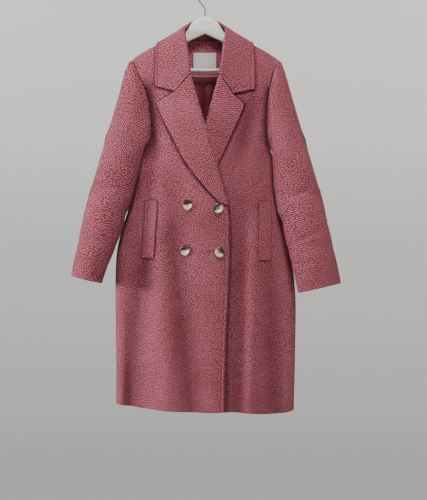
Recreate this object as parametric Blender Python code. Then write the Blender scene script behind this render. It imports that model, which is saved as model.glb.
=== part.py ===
"""A long double-breasted tweed coat hanging on a hanger with a trouser bar.

The frame has +Z up, and the coat's front faces -Y. The origin is the inner top of the hanger's hook, where a
rail or a peg carries it. "Right" and "left" are the wearer's, so the right front, which buttons on top, lies at
-X. A drop is a distance below the origin. Every cloth wall is worked out on a grid: its outer face from the sizes
below, and its inner face one thickness behind it.
"""
from math import cos, pi, radians, sin

import bmesh
import bpy
import numpy as np

# ---------------------------------------------------------------- sizes, in metres
TWEED = 0.0030           # wall of the shell's tweed
TURNED = 0.0040          # wall of a lapel and of the collar, which are two layers pressed together
SEAM = 0.0003            # gap between pieces at a seam
SATIN = 0.0010           # wall of the lining and of the label
SLEEVE_GAP = 0.0008      # gap between the armhole's edge and the sleeve's head

UNDERARM = 0.494         # drop of the armhole's lowest point
SWING = 0.410            # drop at which the armhole seam swings out to it
SHOULDER_END = 0.210     # drop of the shoulder seam at the armhole
SHOULDER_ROUND = 0.055   # height over which the cloth rounds over the shoulder
HANGER_PLANE = 0.0       # y of the hanger and of the shoulder seam
FRONT_LIFT = 0.0052      # how far the top front lies in front of the under front
LAPEL_LIFT = 0.0085      # and how much further it is pushed out where it covers the under lapel


def table(columns, *rows):
    """A short table as arrays by column name."""
    return dict(zip(columns.split(), np.array(rows, dtype=float).T))


# The line of the shoulder from the middle out. Inside the neck it only carries the surface on.
SHOULDER = table("out drop", (0.000, 0.105), (0.040, 0.1255), (0.075, 0.143), (0.115, 0.1605), (0.157, 0.180),
                 (0.206, 0.210), (0.240, 0.236))
# The seam of the collar across the back of the neck.
BACK_NECK = table("out drop", (0.000, 0.152), (0.040, 0.1495), (0.075, 0.143))
NECK_POINT = 0.075       # where the shoulder seam meets the collar

# The body's section by its drop: half widths at the wearer's right and left, the radius of the side's turn, how
# far the front and the back crown out past that turn, and how far behind the hanger the side seam lies.
BODY = table("drop right left turn front back side",
             (0.100, 0.212, 0.212, 0.020, 0.016, 0.004, 0.004),
             (0.210, 0.210, 0.210, 0.020, 0.022, 0.006, 0.006),
             (0.360, 0.204, 0.206, 0.020, 0.036, 0.008, 0.010),
             (0.494, 0.198, 0.201, 0.020, 0.041, 0.008, 0.014),
             (0.571, 0.200, 0.199, 0.020, 0.042, 0.008, 0.015),
             (0.630, 0.217, 0.214, 0.020, 0.042, 0.008, 0.015),
             (0.690, 0.236, 0.227, 0.020, 0.043, 0.008, 0.015),
             (0.745, 0.250, 0.239, 0.020, 0.043, 0.007, 0.015),
             (0.800, 0.255, 0.250, 0.021, 0.044, 0.007, 0.015),
             (0.880, 0.256, 0.258, 0.022, 0.045, 0.006, 0.015),
             (1.000, 0.255, 0.258, 0.024, 0.047, 0.005, 0.014),
             (1.100, 0.254, 0.256, 0.025, 0.048, 0.005, 0.013),
             (1.220, 0.255, 0.253, 0.027, 0.050, 0.004, 0.012))

# The armhole seam from the shoulder's end to the underarm: its distance out on each front and on the back.
ARMHOLE = table("drop right left back",
                (0.210, 0.206, 0.206, 0.206), (0.2565, 0.186, 0.190, 0.194), (0.300, 0.167, 0.180, 0.186),
                (0.361, 0.154, 0.174, 0.180), (0.410, 0.150, 0.173, 0.180))

# The inner edge of a front: neckline, roll line of the lapel, then the free front edge below the break.
FRONT_EDGE = table("drop out",
                   (0.143, -0.075), (0.190, -0.061), (0.230, -0.053), (0.263, -0.047), (0.320, -0.031),
                   (0.380, -0.013), (0.440, 0.004), (0.4985, 0.022), (0.560, 0.041), (0.600, 0.053),
                   (0.640, 0.0645), (0.720, 0.0685), (0.893, 0.0640), (1.027, 0.0580), (1.220, 0.0540))
BREAK = 0.640            # drop at which the lapel leaves the front edge
GORGE = 0.263            # drop at which the collar meets the lapel on the roll line

# The hem's drop across the coat, from the wearer's right to the left.
HEM = table("x drop", (-0.255, 1.190), (-0.180, 1.197), (-0.100, 1.203), (0.000, 1.207), (0.060, 1.206),
            (0.140, 1.212), (0.200, 1.215), (0.255, 1.208))

# Soft folds: a line from its top to its foot, how wide and how deep it is (a trough is negative), and 1 where
# it runs out before the hem.
FRONT_FOLDS = table("top_x top foot_x foot half_width depth ends",
                    (-0.104, 0.500, -0.034, 1.160, 0.036, -0.011, 0),
                    (-0.138, 0.520, -0.112, 1.160, 0.030, 0.008, 0),
                    (-0.176, 0.760, -0.206, 1.150, 0.028, -0.010, 0),
                    (-0.150, 0.300, -0.140, 0.520, 0.018, -0.007, 1),
                    (0.137, 0.330, 0.092, 0.520, 0.020, -0.010, 1),
                    (0.145, 0.420, 0.128, 1.100, 0.028, 0.007, 0),
                    (0.100, 0.620, 0.092, 1.180, 0.026, -0.007, 0),
                    (0.184, 0.800, 0.196, 1.180, 0.024, -0.008, 0))
BACK_FOLDS = table("top_x top foot_x foot half_width depth ends",
                   (-0.120, 0.420, -0.150, 1.160, 0.034, -0.006, 0),
                   (-0.050, 0.560, -0.062, 1.180, 0.030, 0.005, 0),
                   (0.058, 0.600, 0.072, 1.180, 0.032, -0.005, 0),
                   (0.130, 0.440, 0.158, 1.160, 0.030, 0.006, 0))

# Each sleeve from the elbow down: the centre of a ring, its half widths across and deep, and its lean from the
# vertical in degrees.
SLEEVE_RIGHT = table("drop out y across deep lean",
                     (0.560, 0.2540, -0.014, 0.0600, 0.0450, 13.0),
                     (0.690, 0.2910, -0.030, 0.0565, 0.0450, 16.0),
                     (0.785, 0.3200, -0.040, 0.0485, 0.0460, 16.0),
                     (0.834, 0.3330, -0.042, 0.0450, 0.0465, 14.0))
SLEEVE_LEFT = table("drop out y across deep lean",
                    (0.575, 0.2560, -0.016, 0.0630, 0.0440, 13.0),
                    (0.690, 0.2830, -0.036, 0.0630, 0.0370, 14.0),
                    (0.790, 0.3070, -0.050, 0.0630, 0.0290, 13.5),
                    (0.858, 0.3210, -0.053, 0.0620, 0.0240, 13.0))
# Creases round a sleeve: the way down it from the armhole to the cuff, its middle in degrees from the top round
# by the front, its half length in degrees, its half width along the sleeve, its slant and its depth.
SLEEVE_FOLDS = table("along round reach half_width slant depth",
                     (0.34, 120, 70, 0.035, 0.05, -0.0050), (0.52, 60, 60, 0.030, -0.04, -0.0045),
                     (0.64, 150, 60, 0.030, 0.05, -0.0040), (0.80, 70, 70, 0.030, -0.03, -0.0035),
                     (0.56, 260, 80, 0.035, 0.05, -0.0045))

# The lapels' outer edges from the tip down to the break, by drop, and each one's tip and inner notch corner.
LAPEL_EDGE = table("drop right left",
                   (0.3370, -0.1355, 0.1130), (0.380, -0.1190, 0.0960), (0.4395, -0.0895, 0.0690),
                   (0.505, -0.0545, 0.0390), (0.560, -0.0130, 0.0080), (0.590, 0.0130, -0.0140),
                   (0.620, 0.0420, -0.0430))
LAPEL_END = {"right": 0.016, "left": 0.030}   # how far above the break each lapel runs out
LAPEL_TIP = {"right": 0.3370, "left": 0.3430}
GORGE_GAP = 0.0012       # between the collar's end and the lapel's top edge
LEAF_GAP = 0.0012        # least gap between a turned-back leaf and the cloth under it
NOTCH = {"right": (-0.0840, 0.3080), "left": (0.0790, 0.3160)}
LAPEL_ROLL = table("drop radius right left",
                   (0.263, 0.0050, 0.0060, 0.0040), (0.340, 0.0050, 0.0090, 0.0050),
                   (0.400, 0.0046, 0.0085, 0.0022), (0.560, 0.0036, 0.0040, 0.0018),
                   (0.640, 0.0034, 0.0025, 0.0018))

# The collar from the middle of the back to its front end: its seam to the neck (seam_back is 1 behind the
# shoulder seam and -1 in front), its fold, and its leaf's outer edge. The last row is the end at the gorge, where
# the fold lies level with the front, and the leaf ends in its corner.
COLLAR = table("seam_out seam_drop seam_back fold_out fold_y fold_drop edge_out edge_drop edge_wrap at_gorge",
               (0.000, 0.1520, 1, 0.0000, 0.0270, 0.0930, 0.000, 0.1800, 1, 0),
               (0.030, 0.1505, 1, 0.0220, 0.0240, 0.0945, 0.050, 0.1790, 1, 0),
               (0.055, 0.1475, 1, 0.0380, 0.0170, 0.1010, 0.094, 0.1830, 1, 0),
               (0.068, 0.1450, 1, 0.0500, 0.0080, 0.1130, 0.124, 0.1860, 1, 0),
               (0.075, 0.1430, 0, 0.0560, -0.0060, 0.1290, 0.1365, 0.1745, 0, 0),
               (0.068, 0.1650, -1, 0.0550, -0.0230, 0.1500, 0.1385, 0.2000, -1, 0),
               (0.0605, 0.1930, -1, 0.0500, -0.0330, 0.1830, 0.1400, 0.2350, -1, 0),
               (0.0530, 0.2300, -1, 0.0440, -0.0390, 0.2240, 0.1410, 0.2660, -1, 0),
               (0.0475, 0.2610, -1, 0.0385, 0.0000, 0.2605, 0.141, 0.2890, -1, 1))
CORNER = {"right": (0.1410, 0.2890), "left": (0.1410, 0.2980)}
COLLAR_REST = 0.0020     # gap between the leaf's edge and the cloth it lies on,
RIDGE_REST = 0.0010      # and what is added to it on the ridge of the shoulder
COLLAR_GAP = 0.0024      # between the neck's edge and the middle of the stand's first edge
COLLAR_WALL = 0.0032
FOLD_RADIUS = 0.0054     # of the middle of the wall round the fold
LEAF_SPRING = 0.35       # how far the leaf carries on before it bends to the shoulder
LEAF_WAYS = np.array([0.22, 0.444, 0.63, 0.82, 1.0])
SHOULDER_DEEP = 0.035    # depth of the neck's edge in front of or behind the shoulder seam, for its slope

POCKETS = table("side top low top_in low_in wide", (-1, 0.6130, 0.7740, 0.1345, 0.1440, 0.0345),
                (1, 0.6150, 0.7810, 0.1520, 0.1520, 0.0345))
BUTTONS = table("x drop tip", (-0.0460, 0.6255, 0), (0.0365, 0.6360, 8), (-0.0530, 0.7530, 0),
                (0.0410, 0.7590, 6))
WELT = 0.0038            # thickness of a pocket's welt
WELT_REST = 0.0012       # and its gap to the front
BUTTON_RADIUS = 0.0140
BUTTON_THICK = 0.0048
BUTTON_DISH = 0.0015     # depth of the dish inside the rim
BUTTON_EDGE = 0.0013     # height over which the rim's outer edge rounds off
BUTTON_STEM = 0.0026     # length of the thread stem,
STEM_RADIUS = 0.0028     # its radius,
BUTTON_GAP = 0.0007      # and its gap to the cloth
BUTTON_SPAN = 0.0100     # distance over which the cloth's slope is read under a button

NECK_FACING = table("out low", (0.000, 0.2560), (0.045, 0.2520), (0.085, 0.2380))
LINING_LOW = 0.450
LINING_HALF = 0.080
FACING_HALF = 0.060
FACING = 0.0020          # wall of the facing inside the neck
FACING_DOWN = 0.0040     # how far below the collar's seam it starts
INSIDE_GAP = 0.0004      # between what lies inside the back and the cloth behind it
RIPPLE = 0.034           # spacing of the lining's ripples,
RIPPLE_DEEP = 0.0018     # and half their depth
LABEL = {"left": -0.0330, "right": 0.0315, "top": 0.1880, "low": 0.2330}

HANGER = table("out top low deep",
               (0.000, 0.0890, 0.1385, 0.0062), (0.010, 0.0896, 0.1430, 0.0062),
               (0.022, 0.0940, 0.1485, 0.0062), (0.035, 0.1040, 0.1545, 0.0062),
               (0.048, 0.1250, 0.1605, 0.0062), (0.060, 0.1415, 0.1670, 0.0062),
               (0.075, 0.1492, 0.1740, 0.0062), (0.115, 0.1664, 0.1904, 0.0060),
               (0.157, 0.1864, 0.2104, 0.0056), (0.178, 0.1995, 0.2260, 0.0052),
               (0.188, 0.2070, 0.2470, 0.0050), (0.195, 0.2120, 0.2480, 0.0044),
               (0.199, 0.2180, 0.2430, 0.0030))
HANGER_SIDES = 12        # sides of a section,
HANGER_SQUARE = 0.75     # and the power that squares it: 1 is an oval
BAR_DROP = 0.2414
BAR_RADIUS = 0.0046
BAR_HALF = 0.1827
WIRE = 0.0020            # radius of the hook's wire
HOOK_RADIUS = 0.0255     # of its centre line, so a rail of 40 mm fits
# The hook's stem from the hanger up to where the loop starts.
HOOK_STEM = table("x drop", (0.0000, 0.0887), (0.0002, 0.0800), (0.0000, 0.0700), (-0.0030, 0.0625),
                  (-0.0085, 0.0555), (-0.0155, 0.0465))
HOOK_TURN = (212, -28)   # where the loop starts and ends, in degrees

# Colours, linear, as seen in daylight.
COLOURS = {
    "tweed": ((0.330, 0.090, 0.110), 0.95, 0.0),
    "tweed_turned": ((0.350, 0.100, 0.120), 0.95, 0.0),
    "satin": ((0.070, 0.014, 0.022), 0.35, 0.0),
    "label_cloth": ((0.520, 0.510, 0.500), 0.80, 0.0),
    "horn": ((0.520, 0.430, 0.300), 0.25, 0.0),
    "hanger_paint": ((0.740, 0.720, 0.670), 0.40, 0.0),
    "hook_steel": ((0.420, 0.420, 0.430), 0.30, 1.0),
}


# ---------------------------------------------------------------- curves and surfaces
def curve(rows, column, at, key="drop"):
    """A table's column read along its key: a smooth cubic through the rows, held level past both ends."""
    keys, values = rows[key], rows[column]
    slopes = np.gradient(values, keys)
    at = np.clip(at, keys[0], keys[-1])
    index = np.clip(np.searchsorted(keys, at) - 1, 0, len(keys) - 2)
    span = keys[index + 1] - keys[index]
    t = (at - keys[index]) / span
    return ((2 * t**3 - 3 * t**2 + 1) * values[index] + (t**3 - 2 * t**2 + t) * span * slopes[index]
            + (3 * t**2 - 2 * t**3) * values[index + 1] + (t**3 - t**2) * span * slopes[index + 1])


def step(low, high, at):
    """A smooth step from 0 to 1."""
    t = np.clip((at - low) / (high - low), 0, 1)
    return t * t * (3 - 2 * t)


def folds(rows, x, drop):
    """The sum of the soft folds: each is a bell across its line, and fades in from its top."""
    total = np.zeros_like(x)
    for top_x, top, foot_x, foot, half_width, depth, ends in zip(*rows.values()):
        way = (drop - top) / (foot - top)
        middle = top_x + (foot_x - top_x) * np.clip(way, -0.2, 1.3)
        strength = step(-0.20, 0.30, way) * (1 - ends * step(0.6, 1.15, way))
        total += depth * strength * np.exp(-((x - middle) / half_width) ** 2)
    return total


def half_width(x, drop):
    """The body's half width on the side of x."""
    return np.where(x < 0, curve(BODY, "right", drop), curve(BODY, "left", drop))


def arc_to_side(x_side, drop):
    """The way across the cloth from the middle to the side seam."""
    turn = curve(BODY, "turn", drop)
    return half_width(x_side, drop) - turn + turn * pi / 2


def body_point(across, drop, back=False, lift=0.0, ridges_only=False):
    """A point of the body's outer face.

    across is measured over the cloth from the middle, so that it runs round the side's turn. The surface starts
    at the shoulder line in the hanger's plane, rounds over within SHOULDER_ROUND, and then hangs at its full
    depth.
    """
    across, drop = np.broadcast_arrays(np.asarray(across, float), np.asarray(drop, float))
    turn = curve(BODY, "turn", drop)
    half = half_width(across, drop)
    angle = np.clip((np.abs(across) - (half - turn)) / turn, 0, pi / 2)
    x = np.sign(across) * (np.minimum(np.abs(across), half - turn) + turn * np.sin(angle))
    below = np.clip(drop - curve(SHOULDER, "drop", np.abs(x), key="out"), 0, None)
    rounding = np.sqrt(1 - (1 - np.clip(below / SHOULDER_ROUND, 0, 1)) ** 2)
    crown = np.cos(pi / 2 * np.clip(np.abs(x) / half, 0, 1)) ** 1.3
    level = 1 - step(half - 1.6 * turn, half - 0.5 * turn, np.abs(x))
    raised = folds(BACK_FOLDS if back else FRONT_FOLDS, x, drop)
    raised = np.maximum(raised, 0) if ridges_only else raised
    full = curve(BODY, "back" if back else "front", drop)
    out = turn * np.cos(angle) + full * crown + level * raised + lift
    side = curve(BODY, "side", drop)
    y = HANGER_PLANE * (1 - rounding) + rounding * (side + out if back else side - out)
    return np.stack([x, y, -drop], axis=-1)


def top_lift(x, drop):
    """How far the right front lies in front of the left one: over its edge, and more over its lapel."""
    near = step(-0.160, -0.095, x)
    over_lapel = step(0.300, 0.390, drop) * (1 - step(0.640, 0.730, drop)) * step(-0.145, -0.080, x)
    return near * FRONT_LIFT + over_lapel * LAPEL_LIFT


def grid_normals(points, closed=False):
    """Unit normals of a grid of points from its two directions."""
    if closed:
        wrapped = np.concatenate([points[:, -1:], points, points[:, :1]], axis=1)
        across = np.gradient(wrapped, axis=1)[:, 1:-1]
    else:
        across = np.gradient(points, axis=1)
    normal = np.cross(across, np.gradient(points, axis=0))
    return normal / np.maximum(np.linalg.norm(normal, axis=-1, keepdims=True), 1e-12)


def through(rows, at):
    """A smooth cubic through rows of points, read at places given in rows."""
    index = np.clip(np.floor(at).astype(int), 0, len(rows) - 2)
    t = (at - index).reshape((-1,) + (1,) * (rows.ndim - 1))
    slopes = np.gradient(rows, axis=0)
    return ((2 * t**3 - 3 * t**2 + 1) * rows[index] + (t**3 - 2 * t**2 + t) * slopes[index]
            + (3 * t**2 - 2 * t**3) * rows[index + 1] + (t**3 - t**2) * slopes[index + 1])


# ---------------------------------------------------------------- objects
def material(name):
    """A plain material of the part's colour, roughness and metallic value."""
    if name in bpy.data.materials:
        return bpy.data.materials[name]
    colour, roughness, metallic = COLOURS[name]
    made = bpy.data.materials.new(name)
    made.use_nodes = True
    shader = made.node_tree.nodes["Principled BSDF"]
    shader.inputs["Base Color"].default_value = (*colour, 1)
    shader.inputs["Roughness"].default_value = roughness
    shader.inputs["Metallic"].default_value = metallic
    return made


def add_object(name, mesh, finish):
    """Puts a mesh into the coat's collection under its name, with its finish."""
    made = bpy.data.objects.new(name, mesh)
    mesh.materials.append(material(finish))
    bpy.data.collections["coat"].objects.link(made)
    return made


def closed_mesh(name, points, faces, finish):
    """A mesh of one closed body with its faces pointing out, smooth but for its sharp edges."""
    mesh = bpy.data.meshes.new(name)
    mesh.from_pydata(points.tolist(), [], faces)
    shape = bmesh.new()
    shape.from_mesh(mesh)
    bmesh.ops.recalc_face_normals(shape, faces=shape.faces)
    shape.to_mesh(mesh)
    shape.free()
    mesh.shade_smooth()
    mesh.set_sharp_from_angle(angle=radians(50))
    return add_object(name, mesh, finish)


def wall(name, outer, inner, finish, closed=False):
    """A cloth wall between two grids of points: both faces, and a rim along each edge.

    With closed, the grid's columns meet round a tube, and only the two ends have rims.
    """
    rows, columns = outer.shape[:2]
    points = np.concatenate([outer.reshape(-1, 3), inner.reshape(-1, 3)])
    number = np.arange(rows * columns).reshape(rows, columns)
    if closed:
        number = np.concatenate([number, number[:, :1]], axis=1)
    corners = number[:-1, :-1], number[1:, :-1], number[1:, 1:], number[:-1, 1:]
    a, b, c, d = (part.ravel() for part in corners)
    short = np.linalg.norm(points[a] - points[c], axis=1) <= np.linalg.norm(points[b] - points[d], axis=1)
    first = np.where(short[:, None], np.stack([a, b, c], axis=1), np.stack([a, b, d], axis=1))
    second = np.where(short[:, None], np.stack([a, c, d], axis=1), np.stack([b, c, d], axis=1))
    face = np.concatenate([first, second])
    behind = rows * columns
    edges = [number[0], number[-1]] if closed else [number[0], number[-1], number[:, 0], number[:, -1]]
    rims = []
    for edge in edges:
        p, q = edge[:-1], edge[1:]
        rims.append(np.stack([p, q, q + behind], axis=1))
        rims.append(np.stack([p, q + behind, p + behind], axis=1))
    faces = np.concatenate([face, face[:, ::-1] + behind] + rims)
    return closed_mesh(name, points, faces.tolist(), finish)


def thick(points, thickness, closed=False, outward=1):
    """The two faces of a wall whose middle is a grid of points."""
    normals = grid_normals(points, closed) * outward
    return points + normals * thickness / 2, points - normals * thickness / 2


def solid_rings(name, rings, finish):
    """A solid through closed rings of points, with a flat cap at each end."""
    count, around = rings.shape[:2]
    number = np.arange(count * around).reshape(count, around)
    number = np.concatenate([number, number[:, :1]], axis=1)
    a, b, c, d = number[:-1, :-1], number[1:, :-1], number[1:, 1:], number[:-1, 1:]
    faces = np.stack([a, b, c, d], axis=-1).reshape(-1, 4).tolist()
    faces += [number[0, :-1].tolist(), number[-1, :-1][::-1].tolist()]
    return closed_mesh(name, rings.reshape(-1, 3), faces, finish)


# ---------------------------------------------------------------- the shell
# Rows over the shoulder's rounding, then down to the underarm, and then, as shares, on to the hem.
ROUND_ROWS = SHOULDER_ROUND * (1 - np.cos(np.radians([0, 28, 56, 90])))
UPPER_ROWS = np.concatenate([ROUND_ROWS, [0.085, 0.120, 0.160, 0.200, 0.225, 0.243, 0.258, 0.271]])
UPPER_ROWS = np.append(UPPER_ROWS, UNDERARM - SHOULDER_END)
LOWER_ROWS = np.linspace(0, 1, 14)[1:]
# Columns of a front from its inner edge to its side, and of the back from side to side, as shares.
FRONT_COLUMNS = np.concatenate([np.linspace(0, 0.88, 12), [0.92, 0.96, 1.0]])
BACK_HALF = np.concatenate([np.linspace(0, 0.88, 8), [0.93, 0.97, 1.0]])
BACK_COLUMNS = np.concatenate([-BACK_HALF[:0:-1], BACK_HALF])
SETTLE = 12              # rounds in which a row's drops and its two ends are brought to agree
SMALL = 0.0004           # step over which a surface's slopes are read


def armhole_out(column, drop, x_side):
    """How far across the cloth the armhole seam or, below it, the side seam lies."""
    side = arc_to_side(x_side, drop)
    seam = curve(ARMHOLE, column, np.minimum(drop, SWING))
    low = (drop - SWING) / (UNDERARM - SWING)
    swing = 1 - np.sqrt(np.clip(1 - np.clip(low, 0, 1) ** 2, 0, 1))
    return seam + (side - seam) * np.where(drop >= UNDERARM, 1, swing)


def panel_drops(x, row, top):
    """The drop of a panel's rows: from its top edge to the underarm, then on to the hem."""
    upper = len(UPPER_ROWS)
    if row < upper:
        return top + (UNDERARM - top) * UPPER_ROWS[row] / UPPER_ROWS[-1]
    return UNDERARM + (curve(HEM, "drop", x, key="x") - UNDERARM) * LOWER_ROWS[row - upper]


def front_grid(side):
    """The places of a front's points, across the cloth and drop, from its inner edge to the armhole and side."""
    column = "right" if side < 0 else "left"
    places = []
    for row in range(len(UPPER_ROWS) + len(LOWER_ROWS)):
        inner, outer = 0.0, side * SHOULDER["out"][-1]
        for _ in range(SETTLE):
            across = inner + (outer - inner) * FRONT_COLUMNS
            top = curve(SHOULDER, "drop", np.abs(across), key="out")
            drop = panel_drops(across, row, top)
            inner = -side * curve(FRONT_EDGE, "out", drop[0])
            outer = side * (armhole_out(column, drop[-1], side) - SEAM / 2)
        places.append(np.stack([across, drop], axis=-1))
    return np.array(places)


def back_grid():
    """The places of the back's points, from armhole to armhole, below the collar and shoulder seams."""
    places = []
    for row in range(len(UPPER_ROWS) + len(LOWER_ROWS)):
        reach = SHOULDER["out"][-1]
        for _ in range(SETTLE):
            across = BACK_COLUMNS * reach
            out = np.abs(across)
            shoulder = curve(SHOULDER, "drop", out, key="out")
            top = np.where(out < NECK_POINT, curve(BACK_NECK, "drop", out, key="out"), shoulder)
            drop = panel_drops(across, row, top)
            right = armhole_out("back", drop[0], -1) - SEAM / 2
            left = armhole_out("back", drop[-1], 1) - SEAM / 2
            reach = np.where(BACK_COLUMNS < 0, right, left)
        places.append(np.stack([across, drop], axis=-1))
    return np.array(places)


def shell_faces(places, back=False, lift=None):
    """Outer and inner face of a panel. The normals come from the body's own surface, so that seams match.

    On the shoulder and side seams the normal lies in the seam's plane, and each panel stands half a gap off
    it.
    """
    def at(across, drop):
        return body_point(across, drop, back=back, lift=lift(across, drop) if lift else 0.0)

    across, drop = places[..., 0], places[..., 1]
    ridge = curve(SHOULDER, "drop", np.abs(across), key="out")
    below = np.maximum(drop, ridge + SMALL)
    outer = at(across, drop)
    sideways = at(across + SMALL, below) - at(across - SMALL, below)
    downwards = at(across, below + SMALL) - at(across, below)
    normal = np.cross(sideways, downwards) * (1 if back else -1)
    on_seam = (drop < ridge + SMALL) | (np.abs(across) > arc_to_side(across, drop) - 2 * SEAM)
    normal[..., 1] = np.where(on_seam, 0.0, normal[..., 1])
    normal /= np.linalg.norm(normal, axis=-1, keepdims=True)
    off_seam = np.array([0, SEAM / 2 if back else -SEAM / 2, 0])
    return outer + off_seam, outer - normal * TWEED + off_seam


def skin(outer, normals, fine=4):
    """Points all over a panel's outer face, as its flat facets have them, each with its normal."""
    for axis in (0, 1):
        at = np.linspace(0, outer.shape[axis] - 1, (outer.shape[axis] - 1) * fine + 1)
        low = np.clip(np.floor(at).astype(int), 0, outer.shape[axis] - 2)
        part = (at - low).reshape((-1, 1, 1) if axis == 0 else (1, -1, 1))
        outer, normals = (np.take(face, low, axis) * (1 - part) + np.take(face, low + 1, axis) * part
                          for face in (outer, normals))
    return np.concatenate([outer.reshape(-1, 3), normals.reshape(-1, 3)], axis=1)


def keep_off(points, skins, clear, limit=0.02):
    """Moves points out along the nearest normal of a panel until they are clear of it."""
    surface = np.concatenate(skins)
    flat = points.reshape(-1, 3).copy()
    for _ in range(3):
        nearest = np.array([np.argmin(((surface[:, :3] - point) ** 2).sum(axis=1)) for point in flat])
        height = ((flat - surface[nearest, :3]) * surface[nearest, 3:]).sum(axis=1)
        flat += surface[nearest, 3:] * np.clip(clear - height, 0, limit)[:, None]
    return flat.reshape(points.shape)


def build_shell():
    """The two fronts and the back. Returns their outer and inner faces by name."""
    skins = {}
    for name, places, back, lift in (("front_right", front_grid(-1), False, top_lift),
                                     ("front_left", front_grid(1), False, None),
                                     ("back", back_grid(), True, None)):
        outer, inner = shell_faces(places, back=back, lift=lift)
        wall(name, outer, inner, "tweed")
        skins[name] = skin(outer, (outer - inner) / TWEED)
        skins[name + "_inside"] = skin(inner, (inner - outer) / TWEED)
    return skins


# ---------------------------------------------------------------- sleeves
HEAD_OUT = 0.013         # how far the sleeve's head stands out past the armhole seam,
HEAD_SWELL = 0.010       # how far it swells off the body in front,
HEAD_SWELL_BACK = 0.002  # and behind,
HEAD_DOWN = 0.010        # and how far it drops at the shoulder and at the underarm
SLEEVE_LIMIT = 0.0020    # the most that a sleeve's point is moved to clear the panels
UNDERARM_TURN = 0.9      # how far round to the back the underarm lies on the sleeve, in radians,
FRONT_TURN_POWER = 5     # and how closely that turn keeps to the underarm in front


def armhole_rings(side):
    """The armhole seam as a ring, from the shoulder's end by the front to the underarm and up the back.

    It takes the panels' own rows, a seam's gap off them. A second ring follows where the sleeve's head swells
    out. The angles say how far round each point lies.
    """
    rings = []
    back_edge = 0 if side < 0 else -1
    for places, edge, back in ((front_grid(side), -1, False), (back_grid(), back_edge, True)):
        across, drops = places[:len(UPPER_ROWS), edge].T
        off = np.stack([np.gradient(drops), -side * np.gradient(across)], axis=-1)
        off *= SLEEVE_GAP / np.linalg.norm(off, axis=-1, keepdims=True)
        across, drops = across + side * off[:, 0], drops + off[:, 1]
        lift = 0.0 if back or side > 0 else top_lift(across, drops)
        rings.append(body_point(across, drops, back=back, lift=lift))
    ring = np.concatenate([rings[0], rings[1][-2:0:-1]])
    lengths = [np.linalg.norm(np.diff(half, axis=0), axis=1).cumsum() for half in rings]
    front = np.concatenate([[0], lengths[0] / lengths[0][-1] * pi])
    behind = 2 * pi - np.concatenate([[0], lengths[1] / lengths[1][-1] * pi])
    angles = np.concatenate([front, behind[-2:0:-1]])
    swollen = ring + np.array([side * HEAD_OUT, 0, 0])
    swollen[:, 1] -= np.where(angles < pi, HEAD_SWELL, HEAD_SWELL_BACK) * np.sin(angles)
    swollen[:, 2] -= HEAD_DOWN * np.abs(np.cos(angles))
    return ring, swollen, angles


def oval_rings(rows, side, angles):
    """A sleeve's rings below the armhole, square to its lean."""
    rings = []
    angles = angles + UNDERARM_TURN * np.sin(angles / 2) ** np.where(angles < pi, FRONT_TURN_POWER, 2)
    for drop, out, y, across, deep, lean in zip(*rows.values()):
        outwards = np.array([side * cos(radians(lean)), 0, sin(radians(lean))])
        ring = np.array([side * out, y, -drop]) + np.outer(across * np.cos(angles), outwards)
        ring[:, 1] -= deep * np.sin(angles)
        rings.append(ring)
    return rings


def sleeve_outer(rows, side, skins):
    """A sleeve's outer face: a smooth loft from the armhole through its rings, with its creases."""
    ring, swollen, angles = armhole_rings(side)
    rings = np.array([swollen] + oval_rings(rows, side, angles))
    along = np.concatenate([np.linspace(0, 1, 7), np.linspace(1, len(rings) - 1, 10)[1:]])
    points = np.concatenate([ring[None], through(rings, along)])
    way = np.linspace(0, 1, len(points))[:, None]
    total = np.zeros(points.shape[:2])
    for place, round_at, reach, half, slant, depth in zip(*SLEEVE_FOLDS.values()):
        off = (np.degrees(angles)[None] - round_at + 180) % 360 - 180
        total += depth * np.exp(-((way - place - slant * off / 90) / half) ** 2 - (off / reach) ** 2)
    points = points + grid_normals(points, closed=True) * side * total[..., None]
    points[1:] = keep_off(points[1:], skins, SLEEVE_GAP, limit=SLEEVE_LIMIT)
    return points


def build_sleeves(skins):
    """The two sleeves, each set in its armhole and open at the cuff."""
    for name, side, rows in (("sleeve_right", -1, SLEEVE_RIGHT), ("sleeve_left", 1, SLEEVE_LEFT)):
        front = skins["front_right" if side < 0 else "front_left"]
        outer = sleeve_outer(rows, side, [front, skins["back"]])
        inner = outer - grid_normals(outer, closed=True) * side * TWEED
        wall(name, outer, inner, "tweed", closed=True)


# ---------------------------------------------------------------- lapels and collar
LAPEL_ROWS = 15
ROLL_GAP = 0.0013        # between the front's edge and the middle of the lapel's first edge
TURN_COLUMNS = np.radians([-90, -45, 0, 45, 90])
LEAF_COLUMNS = np.linspace(0, 1, 8)[1:]


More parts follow.
